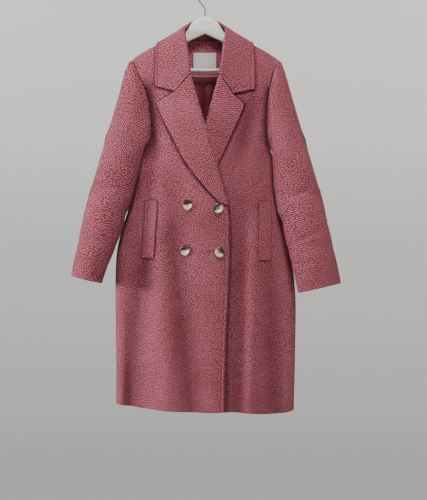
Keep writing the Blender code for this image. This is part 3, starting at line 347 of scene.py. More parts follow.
SOFT_EDGE = (0.0003, 0.0008, 0.0015, 0.0025, 0.0040)       # close steps at a plain edge
STITCHED_EDGE = SOFT_EDGE + (0.0055, 0.0070, 0.0082, 0.0092, 0.0100, 0.0108, 0.0118, 0.0130, 0.0150)
ROUND_ANGLES = np.radians(np.concatenate([[0, 0.4, 1.0, 1.8, 2.8, 4.2], np.linspace(6, 90, 24)]))
ROUND_ROWS = SHOULDER_ROUND * (1 - np.cos(ROUND_ANGLES))    # rows over the shoulder's rounding
UPPER_ROWS = np.concatenate([ROUND_ROWS, np.linspace(SHOULDER_ROUND, UNDERARM - SHOULDER_END, 72)[1:]])
LOWER_ROWS = spaced(0.72, 0.0052, end=SOFT_EDGE)[1:]        # from the underarm to the hem
FRONT_COLUMNS = spaced(0.27, 0.0040, start=STITCHED_EDGE, end=SOFT_EDGE)
BACK_COLUMNS = 2 * spaced(0.44, 0.0042, start=SOFT_EDGE, end=SOFT_EDGE) - 1
SETTLE = 12              # rounds in which a row's drops and ends come to agree
SMALL = 0.00002                                             # step over which a surface's slopes are read


def armhole_out(column, drop, x_side):
    """How far across the cloth the armhole seam or, below it, the side seam lies: the seam's own curve, which
    swings out to the underarm along a quarter of an ellipse."""
    side = arc_to_side(x_side, drop)
    seam = curve(ARMHOLE, column, np.minimum(drop, SWING))
    low = np.clip((drop - SWING) / (UNDERARM - SWING), 0, 1)
    return seam + (side - seam) * np.where(drop >= UNDERARM, 1, 1 - np.sqrt(1 - low**2))


def panel_drops(x, row, top):
    """The drop of a panel's row: from its top edge to the underarm, then on to the hem."""
    upper = len(UPPER_ROWS)
    if row < upper:
        return top + (UNDERARM - top) * UPPER_ROWS[row] / UPPER_ROWS[-1]
    return UNDERARM + (curve(HEM, "drop", x, key="x") - UNDERARM) * LOWER_ROWS[row - upper]


def front_grid(side):
    """The places of a front's points: across the cloth and drop, from its inner edge to the armhole and
    side."""
    column = "right" if side < 0 else "left"
    places = []
    for row in range(len(UPPER_ROWS) + len(LOWER_ROWS)):
        inner, outer = 0.0, side * SHOULDER["out"][-1]
        for _ in range(SETTLE):
            across = inner + (outer - inner) * FRONT_COLUMNS
            drop = panel_drops(across, row, curve(SHOULDER, "drop", np.abs(across), key="out"))
            inner = -side * curve(FRONT_EDGE, "out", drop[0])
            outer = side * (armhole_out(column, drop[-1], side) - SEAM / 2)
        places.append(np.stack([across, drop], axis=-1))
    return np.array(places)


def back_grid():
    """The places of the back's points, from armhole to armhole, below the collar seam and the shoulder
    seams."""
    places = []
    for row in range(len(UPPER_ROWS) + len(LOWER_ROWS)):
        reach = SHOULDER["out"][-1]
        for _ in range(SETTLE):
            across = BACK_COLUMNS * reach
            out = np.abs(across)
            shoulder = curve(SHOULDER, "drop", out, key="out")
            top = np.where(out < NECK_POINT, curve(BACK_NECK, "drop", out, key="out"), shoulder)
            drop = panel_drops(across, row, top)
            right = armhole_out("back", drop[0], -1) - SEAM / 2
            left = armhole_out("back", drop[-1], 1) - SEAM / 2
            reach = np.where(BACK_COLUMNS < 0, right, left)
        places.append(np.stack([across, drop], axis=-1))
    return np.array(places)


def shell_faces(places, back=False, lift=None):
    """Outer and inner face of a panel, the inner one a cloth's thickness behind along the surface's normal,
    taken from small steps on the surface. On the shoulder and side seams the normal lies in the seam's
    plane."""
    def at(across, drop):
        return body_point(across, drop, back=back, lift=lift(across, drop) if lift else 0.0)

    across, drop = places[..., 0], places[..., 1]
    ridge = curve(SHOULDER, "drop", np.abs(across), key="out")
    below = np.maximum(drop, ridge + SMALL)
    outer = at(across, drop)
    sideways = at(across + SMALL, below) - at(across - SMALL, below)
    downwards = at(across, below + SMALL) - at(across, below)
    normal = np.cross(sideways, downwards) * (1 if back else -1)
    on_seam = (drop < ridge + SMALL / 10) | (np.abs(across) > arc_to_side(across, drop) - 2 * SEAM)
    normal[..., 1] = np.where(on_seam, 0.0, normal[..., 1])
    normal /= np.linalg.norm(normal, axis=-1, keepdims=True)
    off_seam = np.array([0, SEAM / 2 if back else -SEAM / 2, 0])
    return outer + off_seam, outer - normal * TWEED + off_seam


def lengths(points, axis):
    """How far each point of a grid lies along the cloth from the first of its line, and from the last."""
    steps = np.linalg.norm(np.diff(points, axis=axis), axis=-1)
    steps = np.insert(steps, 0, 0, axis=axis)
    ahead = np.cumsum(steps, axis=axis)
    return ahead, np.take(ahead, [-1], axis=axis) - ahead


def soften(outer, inner, edges, margins=(), within=1.0):
    """Rounds the open edges of a wall and presses a stitched margin along some of them, within a share
    given for each point. Inside an edge's radius both faces draw in to the middle as half a circle does. A
    margin has a groove at its stitch line, a bell across the line, and swells between the line and the edge
    by a sine."""
    middle, half = (outer + inner) / 2, (outer - inner) / 2
    down, up = lengths(middle, 0)
    first, last = lengths(middle, 1)
    ways = {"top": down, "foot": up, "first": first, "last": last}
    full = np.ones(middle.shape[:2])
    for edge, radius in edges.items():
        full = np.minimum(full, np.sqrt(1 - (1 - np.clip(ways[edge] / radius, 0, 1)) ** 2))
    press = np.zeros(middle.shape[:2])
    if margins:
        way = np.min([ways[edge] for edge in margins], axis=0)
        press = sizes().swell * np.sin(np.clip(way / STITCH_IN, 0, 1) * pi)
        press = (press - sizes().groove * np.exp(-((way - STITCH_IN) / GROOVE_WIDE) ** 2)) * within
    normal = half / np.maximum(np.linalg.norm(half, axis=-1, keepdims=True), 1e-9)
    full = np.maximum(full, THIN_EDGE)[..., None]
    return middle + half * full + normal * press[..., None], middle - half * full


STITCH_IN = 0.0100       # how far a row of topstitching lies inside its edge
GROOVE_WIDE = 0.0016     # half the width of its groove
THIN_EDGE = 0.10         # share of the thickness left at the very edge


def sizes():
    """The sizes of the coat's finish that a user can change."""
    return bpy.context.scene.coat_sizes


# ---------------------------------------------------------------- meshes
def cloth_map(points):
    """A map in metres for a grid: across it and down it, each measured along the cloth from the grid's
    middle."""
    across = lengths(points, 1)[0]
    down = lengths(points, 0)[0]
    middle = points.shape[1] // 2
    across = across - across[:, middle:middle + 1]
    return np.stack([across, np.repeat(down[:, middle:middle + 1], points.shape[1], axis=1)], axis=-1)


def put_mesh(name, points, quads, uv, finishes, finish_of=None, fans=None):
    """Puts arrays of points, of four-cornered faces, of triangles and of places on the cloth into a new
    mesh. The faces are turned to point outwards: the sum of the volumes between each face and the middle is
    then positive."""
    fans = np.zeros((0, 3), int) if fans is None else fans
    halves = np.concatenate([quads[:, :3], quads[:, [0, 2, 3]], fans])
    near = points - points.mean(axis=0)
    if (near[halves[:, 0]] * np.cross(near[halves[:, 1]], near[halves[:, 2]])).sum() < 0:
        quads, fans = quads[:, ::-1], fans[:, ::-1]
    mesh = bpy.data.meshes.new(name)
    mesh.from_pydata(points.tolist(), [], quads.tolist() + fans.tolist())
    layer = mesh.uv_layers.new(name="cloth")
    layer.data.foreach_set("uv", uv[np.concatenate([quads.ravel(), fans.ravel()])].ravel())
    for made in finishes:
        mesh.materials.append(made)
    if finish_of is not None:
        mesh.polygons.foreach_set("material_index", finish_of.astype(np.int32))
    mesh.shade_smooth()
    mesh.update()
    made = bpy.data.objects.new(name, mesh)
    bpy.context.scene.collection.objects.link(made)
    return made


def grid_quads(number):
    """The four-cornered faces of a grid of point numbers."""
    corners = number[:-1, :-1], number[1:, :-1], number[1:, 1:], number[:-1, 1:]
    return np.stack([corner.ravel() for corner in corners], axis=1)


def ring_numbers(count, around):
    """The point numbers of rings that each close on themselves."""
    number = np.arange(count * around).reshape(count, around)
    return np.concatenate([number, number[:, :1]], axis=1)


def wall_mesh(name, outer, inner, uv, finishes, closed=False, painted_shade=None):
    """A cloth wall between two grids: the outer face, the inner one, and a rim that joins them at every
    open edge. The inner face takes the second finish where there is one. A closed grid's columns meet round
    a tube. The painted shade of the outer face, from 0 to 1, is kept for the finish; the inner face has none."""
    rows, columns = outer.shape[:2]
    points = np.concatenate([outer.reshape(-1, 3), inner.reshape(-1, 3)])
    number = np.arange(rows * columns).reshape(rows, columns)
    if closed:
        number = np.concatenate([number, number[:, :1]], axis=1)
    behind = rows * columns
    front = grid_quads(number)
    sides = [(number[0], 1), (number[-1], -1)] + ([] if closed else [(number[:, 0], -1), (number[:, -1], 1)])
    rims = []
    for line, way in sides:
        rim = np.stack([line[:-1], line[1:], line[1:] + behind, line[:-1] + behind], axis=1)
        rims.append(rim[:, ::way])
    quads = np.concatenate([front, front[:, ::-1] + behind] + rims)
    finish_of = np.zeros(len(quads))
    if len(finishes) > 1:
        finish_of[len(front):2 * len(front)] = 1
    made = put_mesh(name, points, quads, np.concatenate([uv.reshape(-1, 2)] * 2), finishes, finish_of)
    if painted_shade is not None:
        # Painted shade, kept as an attribute of the points.
        layer = made.data.attributes.new("painted_shade", "FLOAT", "POINT")
        shade = np.concatenate([painted_shade.ravel(), 0 * painted_shade.ravel()])
        layer.data.foreach_set("value", shade.astype(np.float32))
    return made


def seat(piece, slot, *nodes):
    """A finished piece: it rides on the coat's one body and stands for its solids. The slot is not used."""
    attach(piece, BODY_NAME)
    if nodes:
        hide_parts(*nodes)
    return piece


# ---------------------------------------------------------------- finishes
def shader_tree(name, **sockets):
    """A new material with its shader's plain values set, and helpers that add and join nodes."""
    made = bpy.data.materials.new(name)
    made.use_nodes = True
    tree = made.node_tree
    shader = tree.nodes["Principled BSDF"]
    for socket, value in sockets.items():
        shader.inputs[socket.replace("_", " ")].default_value = value

    def node(kind, **settings):
        """Adds a node. Lower-case settings are its properties, and the others its inputs by name."""
        added = tree.nodes.new(kind)
        for key, value in settings.items():
            if key.islower():
                setattr(added, key, value)
            elif isinstance(value, bpy.types.NodeSocket):
                tree.links.new(value, added.inputs[key.replace("_", " ")])
            else:
                added.inputs[key.replace("_", " ")].default_value = value
        return added

    def sums(operation, *values):
        """A Math node's result from sockets or numbers."""
        added = node("ShaderNodeMath", operation=operation)
        for socket, value in zip(added.inputs, values):
            if isinstance(value, bpy.types.NodeSocket):
                tree.links.new(value, socket)
            else:
                socket.default_value = value
        return added.outputs[0]

    return made, tree, shader, node, sums


def ramp(node, value, *stops):
    """A colour ramp through stops of (place, colour)."""
    added = node("ShaderNodeValToRGB", Fac=value)
    band = added.color_ramp
    while len(band.elements) < len(stops):
        band.elements.new(0.5)
    for element, (place, colour) in zip(band.elements, stops):
        element.position = place
        element.color = (*colour, 1) if len(colour) == 3 else colour
    return added.outputs[0]


def bump(node, shader, tree, height, distance, strength=1.0):
    """Joins a height in metres to the shader's normal."""
    made = node("ShaderNodeBump", Strength=strength, Distance=distance, Height=height)
    tree.links.new(made.outputs[0], shader.inputs["Normal"])


def two_tones(node, tree, shader, value, colour, share, low, high):
    """Colours the shader by a value: from a share of a colour at the low one to the colour at the high
    one."""
    dark = tuple(channel * share for channel in colour)
    tree.links.new(ramp(node, value, (low, dark), (high, tuple(colour))), shader.inputs["Base Color"])


def tweed_finish(name, colours, turned=False):
    """Herringbone tweed: diagonal ribs that turn back in every column, broken up by light and dark flecks.

    The ribs are a sine of the way down the cloth plus a zigzag of the way across it. Flecks are two noises,
    and a third, wide one drifts the cloth between pink and brick. Where other cloth lies close by, and in
    the fronts' troughs, painted shade from the piece's attribute darkens the cloth towards the dark yarn.
    """
    made, tree, shader, node, sums = shader_tree(name, Roughness=0.95, Sheen_Weight=0.08, Sheen_Roughness=0.5,
                                                 Sheen_Tint=(1.0, 0.60, 0.66, 1), Specular_IOR_Level=0.15)
    column, rib_pitch = sizes().column, sizes().rib
    place = node("ShaderNodeUVMap", uv_map="cloth").outputs[0]
    wobble = node("ShaderNodeTexNoise", Vector=place, Scale=160.0, Detail=2.0)
    split = node("ShaderNodeSeparateXYZ", Vector=place)
    across, down = split.outputs[0], split.outputs[1]
    zigzag = sums("PINGPONG", sums("MULTIPLY", across, 1 / column), 1.0)
    way = sums("ADD", sums("MULTIPLY", down, 1 / rib_pitch), sums("MULTIPLY", zigzag, column / rib_pitch))
    way = sums("ADD", way, sums("MULTIPLY", wobble.outputs[0], RIB_WOBBLE))
    rib = sums("MULTIPLY_ADD", sums("SINE", sums("MULTIPLY", way, 2 * pi)), 0.5, 0.5)
    fleck = node("ShaderNodeTexNoise", Vector=place, Scale=FLECK_SCALE, Detail=2.0, Roughness=0.65).outputs[0]
    speck = node("ShaderNodeTexNoise", Vector=place, Scale=FLECK_SCALE * SPECK_FINE, Detail=1.0,
                 Roughness=0.5).outputs[0]
    drift = node("ShaderNodeTexNoise", Vector=place, Scale=7.0, Detail=3.0, Roughness=0.6).outputs[0]
    tone = sums("ADD", sums("MULTIPLY", rib, RIB_SHARE), sums("MULTIPLY", fleck, FLECK_SHARE))
    tone = sums("ADD", tone, sums("MULTIPLY", speck, SPECK_SHARE))
    total = RIB_SHARE / 2 + FLECK_SHARE / 2 + SPECK_SHARE / 2
    tone = sums("MULTIPLY_ADD", sums("SUBTRACT", tone, total), TONE_CONTRAST, 0.5)
    dark, light = colours.tweed_dark, colours.tweed_light
    colour = ramp(node, tone, *zip(YARN_STOPS, (dark, colours.tweed_mid, colours.tweed_pink, light)))
    warm = ramp(node, tone, *zip(WARM_STOPS, (dark, colours.tweed_brick, colours.tweed_pink, light)))
    blend = node("ShaderNodeMix", data_type="RGBA")
    amount = ramp(node, drift, (0.40, (0, 0, 0)), (0.66, (0.75, 0.75, 0.75)))
    tree.links.new(amount, blend.inputs[0])
    tree.links.new(colour, blend.inputs[6])
    tree.links.new(warm, blend.inputs[7])
    # Painted shade: the piece's attribute mixes the cloth towards a share of the dark yarn's colour.
    painted_shade = node("ShaderNodeAttribute", attribute_name="painted_shade").outputs["Fac"]
    shaded = node("ShaderNodeMix", data_type="RGBA")
    tree.links.new(painted_shade, shaded.inputs[0])
    tree.links.new(blend.outputs[2], shaded.inputs[6])
    shaded.inputs[7].default_value = (*(channel * PAINTED_SHADE_TONE for channel in colours.tweed_dark), 1)
    tree.links.new(shaded.outputs[2], shader.inputs["Base Color"])
    height = sums("ADD", sums("MULTIPLY", rib, 0.55), sums("ADD", fleck, sums("MULTIPLY", speck, 0.6)))
    bump(node, shader, tree, height, 0.0008 if turned else 0.0009, 0.8)
    return made


RIB_WOBBLE = 0.45
FLECK_SCALE = 300.0
RIB_SHARE = 0.24
FLECK_SHARE = 1.0
SPECK_SHARE = 0.60
TONE_CONTRAST = 3.6
YARN_STOPS = (0.18, 0.44, 0.62, 0.86)           # tones of the dark, middle, pink and light yarn,
WARM_STOPS = (0.18, 0.50, 0.80, 1.00)           # and of the dark, brick, pink and light one
SPECK_FINE = 2.3         # how much finer the specks are than the flecks
PAINTED_SHADE_TONE = 0.35      # the share of the dark yarn's colour that the painted shade keeps where other cloth lies closest


def satin_finish(name, colour):
    """Satin: smooth, with a faint crosswise thread and a slow drift of tone."""
    made, tree, shader, node, sums = shader_tree(name, Roughness=0.42, Specular_IOR_Level=0.35)
    place = node("ShaderNodeUVMap", uv_map="cloth").outputs[0]
    drift = node("ShaderNodeTexNoise", Vector=place, Scale=18.0, Detail=2.0).outputs[0]
    two_tones(node, tree, shader, drift, colour, 0.62, 0.3, 0.7)
    thread = node("ShaderNodeTexWave", Vector=place, Scale=900.0, Distortion=1.0,
                  bands_direction="Y").outputs[1]
    bump(node, shader, tree, thread, 0.00015, 0.6)
    return made


def label_finish(colours):
    """Pale woven tape: fine crosswise ribs and a slightly uneven tone."""
    made, tree, shader, node, sums = shader_tree("coat_label", Roughness=0.75, Sheen_Weight=0.15)
    place = node("ShaderNodeUVMap", uv_map="cloth").outputs[0]
    thread = node("ShaderNodeTexWave", Vector=place, Scale=420.0, Distortion=0.8,
                  bands_direction="Y").outputs[1]
    drift = node("ShaderNodeTexNoise", Vector=place, Scale=90.0, Detail=3.0).outputs[0]
    tone = sums("ADD", sums("MULTIPLY", thread, 0.4), sums("MULTIPLY", drift, 0.6))
    two_tones(node, tree, shader, tone, colours.label, 0.86, 0.25, 0.75)
    bump(node, shader, tree, thread, 0.0003, 0.7)
    return made


def horn_finish(colours):
    """Marbled horn: a dark crescent that runs through swirled streaks into cream. The map is in button
    radii."""
    made, tree, shader, node, sums = shader_tree("coat_horn", Roughness=0.22, Coat_Weight=0.6,
                                                 Coat_Roughness=0.12, Subsurface_Weight=0.05)
    place = node("ShaderNodeUVMap", uv_map="cloth").outputs[0]
    swirl = node("ShaderNodeTexNoise", Vector=place, Scale=1.7, Detail=5.0, Roughness=0.6,
                 Distortion=0.8).outputs[0]
    streak = node("ShaderNodeTexWave", Vector=place, Scale=1.3, Distortion=6.0, Detail=3.0, Detail_Scale=2.2,
                  bands_direction="DIAGONAL").outputs[1]
    up = node("ShaderNodeSeparateXYZ", Vector=place).outputs[1]
    tone = sums("ADD", sums("MULTIPLY", up, 0.62), sums("MULTIPLY", sums("SUBTRACT", swirl, 0.5), 0.40))
    tone = sums("ADD", tone, sums("MULTIPLY", sums("SUBTRACT", streak, 0.5), 0.20))
    brown = (0.20, 0.095, 0.035)
    cloudy = tuple(channel * 0.74 for channel in colours.horn)
    colour = ramp(node, sums("ADD", tone, 0.42), (0.22, tuple(colours.horn)), (0.40, cloudy), (0.47, brown),
                  (0.54, tuple(colours.horn_dark)))
    tree.links.new(colour, shader.inputs["Base Color"])
    bump(node, shader, tree, swirl, 0.0002, 0.3)
    return made


def painted_finish(colours):
    """The hanger's white paint: satin gloss over faint brush marks along the arms."""
    made, tree, shader, node, sums = shader_tree("hanger_white", Roughness=0.38, Coat_Weight=0.15,
                                                 Coat_Roughness=0.3)
    place = node("ShaderNodeTexCoord").outputs["Object"]
    stretched = node("ShaderNodeMapping", Vector=place)
    stretched.inputs["Scale"].default_value = (12, 160, 160)
    brush = node("ShaderNodeTexNoise", Vector=stretched.outputs[0], Scale=1.0, Detail=4.0,
                 Roughness=0.6).outputs[0]
    two_tones(node, tree, shader, brush, colours.paint, 0.92, 0.35, 0.60)
    bump(node, shader, tree, brush, 0.0002, 0.4)
    return made


def wire_finish(colours):
    """The hook's bright wire: drawn steel with fine marks round it."""
    made, tree, shader, node, sums = shader_tree("hook_wire", Metallic=1.0, Roughness=0.28)
    place = node("ShaderNodeTexCoord").outputs["Object"]
    marks = node("ShaderNodeTexNoise", Vector=place, Scale=900.0, Detail=2.0).outputs[0]
    two_tones(node, tree, shader, marks, colours.wire, 0.7, 0.3, 0.7)
    tree.links.new(ramp(node, marks, (0.2, (0.22,) * 3), (0.8, (0.38,) * 3)), shader.inputs["Roughness"])
    bump(node, shader, tree, marks, 0.00008, 0.4)
    return made


def thread_finish(colours):
    """Sewing thread in the cloth's dark red."""
    made, tree, shader, node, sums = shader_tree("coat_thread", Roughness=0.6, Sheen_Weight=0.3)
    place = node("ShaderNodeTexCoord").outputs["Object"]
    twist = node("ShaderNodeTexNoise", Vector=place, Scale=1500.0, Detail=1.0).outputs[0]
    two_tones(node, tree, shader, twist, colours.thread, 0.6, 0.3, 0.7)
    bump(node, shader, tree, twist, 0.0001, 0.5)
    return made


FINISHES = {"tweed": lambda colours: tweed_finish("coat_tweed", colours),
            "tweed_turned": lambda colours: tweed_finish("coat_tweed_turned", colours, turned=True),
            "satin": lambda colours: satin_finish("coat_satin", colours.satin),
            "piping": lambda colours: satin_finish("coat_piping", colours.piping),
            "label_cloth": label_finish, "horn": horn_finish,
            "hanger_paint": painted_finish, "hook_steel": wire_finish, "thread": thread_finish}
made_finishes = {}


def finish(name):
    """A finish by its slot's name, made once from the scene's coat colours."""
    if name not in made_finishes:
        made_finishes[name] = FINISHES[name](bpy.context.scene.coat_colours)
    return made_finishes[name]


# ---------------------------------------------------------------- the shell
SEAM_ROUND = 0.0012      # radius of an edge at a seam, which sinks the seam into the cloth
TURN_ROUND = 0.0024      # radius of a turned edge
shell = {}               # each panel's faces and places, kept for the pieces that lie on it


def skin(face, normals):
    """Points all over a panel's face with their normals, for the pieces that have to lie clear of it."""
    return np.concatenate([face[::2, ::2].reshape(-1, 3), normals[::2, ::2].reshape(-1, 3)], axis=1)


def keep_off(points, skins, clear, limit=0.02):
    """Moves points out along the nearest normal of a panel until they are clear of it. The nearest one is
    found in blocks, from squared distances written out as products."""
    surface = np.concatenate(skins)
    places, normals = surface[:, :3], surface[:, 3:]
    squares = (places**2).sum(axis=1)
    flat = points.reshape(-1, 3).copy()
    for _ in range(3):
        blocks = np.array_split(flat, len(flat) // 500 + 1)
        nearest = np.concatenate([np.argmin(squares - 2 * block @ places.T, axis=1) for block in blocks])
        height = ((flat - places[nearest]) * normals[nearest]).sum(axis=1)
        flat += normals[nearest] * np.clip(clear - height, 0, limit)[:, None]
    return flat.reshape(points.shape)


def uneven(x, drop):
    """The unevenness of hung wool cloth, from about -1 to 1: a sum of long sines with unlike spacings."""
    return (np.sin(31 * x + 9 * drop + 0.4) + np.sin(-23 * x + 17 * drop + 2.0)
            + np.sin(57 * x + 5 * drop + 1.1) + 0.7 * np.sin(41 * x - 37 * drop + 4.0)
            + 0.5 * np.sin(83 * x + 61 * drop + 0.7)) / 3


# How far the painted shade beside an edge reaches and how strong it is. "right" and "left" are the sleeves'
# sides.
EDGE_SHADES = {"leaf": (0.0060, 0.80), "welt": (0.0026, 0.55), "right": (0.0240, 0.72),
               "left": (0.0130, 0.72), "front_edge": (0.0110, 0.75)}
BESIDE_DROPS = np.linspace(0.30, 0.84, 40)        # drops over which a sleeve lies beside its front
SHADE_PITCH = 0.002                               # spacing of the points along those edges


def contact_lines(side):
    """The edges that lie on or beside a front, as points of x and drop 2 mm apart, each with the reach and
    the strength of the painted shade beside it: collar and lapel, pocket, the top front's edge, and the
    sleeve beside the front."""
    column = "right" if side < 0 else "left"
    corner = (side * CORNER[column][0], CORNER[column][1])
    leaf = [(side * COLLAR["edge_out"][4], COLLAR["edge_drop"][4]), corner, NOTCH[column],
            (LAPEL_EDGE[column][0], LAPEL_TIP[column])]
    leaf += list(zip(LAPEL_EDGE[column], LAPEL_EDGE["drop"]))[1:]
    top, low, top_in, low_in, wide = (POCKETS[key][0 if side < 0 else 1]
                                      for key in ("top", "low", "top_in", "low_in", "wide"))
    welt = [(side * top_in, top), (side * (top_in + wide), top), (side * (low_in + wide), low),
            (side * low_in, low), (side * top_in, top)]
    beside = [(side * armhole_out(column, drop, side), drop) for drop in BESIDE_DROPS]
    lines = [(leaf, *EDGE_SHADES["leaf"]), (welt, *EDGE_SHADES["welt"]), (beside, *EDGE_SHADES[column])]
    if side > 0:
        edge = list(zip(FRONT_EDGE["out"][5:], FRONT_EDGE["drop"][5:]))
        lines.append((edge, *EDGE_SHADES["front_edge"]))
    spread = []
    for line, reach, strength in lines:
        line = np.array(line, dtype=float)
        ahead = path_ways(line)
        at = np.arange(0, ahead[-1], SHADE_PITCH)
        points = np.stack([np.interp(at, ahead, line[:, axis]) for axis in (0, 1)], axis=1)
        spread.append((points, reach, strength))
    return spread


TROUGH_SHADE = 0.36      # how strongly the deepest troughs are darkened by painted shade, and how deep those are
TROUGH_DEEP = 0.014      # and how deep those are


def painted_contact_shade(across, drop, side):
    """The painted shade on a front: a share of its troughs' depth, or a bell of the distance to an edge that
    lies on it, whichever is the deepest."""
    shade = TROUGH_SHADE * np.clip(-folds(FRONT_FOLDS, across, drop) / TROUGH_DEEP, 0, 1).ravel()
    flat = np.stack([across.ravel(), drop.ravel()], axis=1)
    for points, reach, strength in contact_lines(side):
        squares = np.concatenate([((block[:, None] - points[None]) ** 2).sum(axis=-1).min(axis=1)
                                  for block in np.array_split(flat, 60)])
        shade = np.maximum(shade, strength * np.exp(-squares / reach**2))
    return shade.reshape(across.shape)


def shell_panel(name, places, back=False, lift=None, margins=()):
    """A front or the back: its faces, the unevenness, which fades out at the edges and where other pieces
    lie, and softened edges. Its inner face is lined with satin."""
    outer, inner = shell_faces(places, back=back, lift=lift)
    normal = (outer - inner) / TWEED
    x, drop = places[..., 0], places[..., 1]
    way = np.min(lengths(outer, 1) + lengths(outer, 0), axis=0)
    below = step(0.24, 0.36, drop) if back else step(0.64, 0.80, drop)
    rise = normal * (uneven(x, drop) * sizes().unevenness * step(0.004, 0.060, way) * below)[..., None]
    outer, inner = outer + rise, inner + rise
    shell[name] = {"skin": skin(outer, normal), "inside": skin(inner, -normal), "places": places,
                   "lift": lift, "back": back}
    edges = {"top": SEAM_ROUND, "foot": TURN_ROUND, "first": SEAM_ROUND, "last": SEAM_ROUND}
    outer, inner = soften(outer, inner, edges, margins, within=step(BREAK, BREAK + 0.012, drop))
    # Painted shade on a front, by its edges, the sleeves beside it and its troughs; the back has none.
    painted_shade = None if back else painted_contact_shade(x, drop, -1 if x.min() < -0.15 else 1)
    made = wall_mesh(name + "_cloth", outer, inner, places, [finish("tweed"), finish("satin")],
                     painted_shade=painted_shade)
    return seat(made, "tweed", name)


# ---------------------------------------------------------------- sleeves
HEAD_OUT = 0.013         # how far the sleeve's head stands out past the armhole seam,
HEAD_SWELL = 0.010       # how far it swells off the body in front,
HEAD_SWELL_BACK = 0.002  # and behind,
HEAD_DOWN = 0.010        # and how far it drops at the shoulder and at the underarm
UNDERARM_TURN = 0.9      # how far round to the back the underarm lies on the sleeve, in radians,
FRONT_TURN_POWER = 5     # and how closely that turn keeps to the underarm in front
SLEEVE_SHADE = {"at": 2.75, "reach": 0.75, "strength": 0.50}   # the painted shade on the inner side, in radians round
SLEEVE_ROWS = np.concatenate([[0.0, 0.03, 0.08, 0.15, 0.26, 0.42, 0.60, 0.80],
                              1 + 3 * spaced(0.50, 0.0046, end=SOFT_EDGE)])
# Finer creases: the way down, degrees round, half length in degrees, half width along, slant and depth.
SMALL_CREASES = {
    "sleeve_right": table("along round reach half_width slant depth",
                          (0.16, 80, 50, 0.020, 0.10, -0.0030), (0.27, 70, 45, 0.014, -0.05, -0.0026),
                          (0.43, 95, 40, 0.012, 0.06, -0.0024), (0.47, 60, 45, 0.012, -0.04, 0.0022),
                          (0.59, 100, 50, 0.011, 0.05, -0.0022), (0.70, 70, 40, 0.013, -0.05, -0.0020),
                          (0.88, 90, 60, 0.014, 0.03, -0.0018)),
    "sleeve_left": table("along round reach half_width slant depth",
                         (0.14, 100, 50, 0.020, -0.10, -0.0032), (0.25, 70, 50, 0.014, 0.06, -0.0026),
                         (0.38, 90, 45, 0.013, -0.05, -0.0024), (0.50, 70, 45, 0.012, 0.05, -0.0024),
                         (0.60, 110, 45, 0.011, -0.05, 0.0022), (0.73, 80, 50, 0.013, 0.05, -0.0024),
                         (0.86, 100, 55, 0.015, -0.04, -0.0018))}


def armhole_rings(side):
    """The armhole seam as a ring of the panels' own edge points, a seam's gap off them, and a second ring
    where the sleeve's head swells out. The angles say how far round each point lies, by its way along the
    seam."""
    rings = []
    front = shell["front_right" if side < 0 else "front_left"]
    for made, edge in ((front, -1), (shell["back"], 0 if side < 0 else -1)):
        across, drops = made["places"][:len(UPPER_ROWS), edge].T
        off = np.stack([np.gradient(drops), -side * np.gradient(across)], axis=-1)
        off *= SLEEVE_GAP / np.linalg.norm(off, axis=-1, keepdims=True)
        across, drops = across + side * off[:, 0], drops + off[:, 1]
        lift = made["lift"](across, drops) if made["lift"] else 0.0
        rings.append(body_point(across, drops, back=made["back"], lift=lift))
    ring = np.concatenate([rings[0], rings[1][-2:0:-1]])
    ways = [np.linalg.norm(np.diff(half, axis=0), axis=1).cumsum() for half in rings]
    front = np.concatenate([[0], ways[0] / ways[0][-1] * pi])
    behind = 2 * pi - np.concatenate([[0], ways[1] / ways[1][-1] * pi])
    angles = np.concatenate([front, behind[-2:0:-1]])
    swollen = ring + np.array([side * HEAD_OUT, 0, 0])
    swollen[:, 1] -= np.where(angles < pi, HEAD_SWELL, HEAD_SWELL_BACK) * np.sin(angles)
    swollen[:, 2] -= HEAD_DOWN * np.abs(np.cos(angles))
    return ring, swollen, angles


def oval_rings(rows, side, angles):
    """A sleeve's rings below the armhole: ovals square to the sleeve's lean."""
    rings = []
    angles = angles + UNDERARM_TURN * np.sin(angles / 2) ** np.where(angles < pi, FRONT_TURN_POWER, 2)
    for drop, out, y, across, deep, lean in zip(*rows.values()):
        outwards = np.array([side * cos(radians(lean)), 0, sin(radians(lean))])
        ring = np.array([side * out, y, -drop]) + np.outer(across * np.cos(angles), outwards)
        ring[:, 1] -= deep * np.sin(angles)
        rings.append(ring)
    return rings


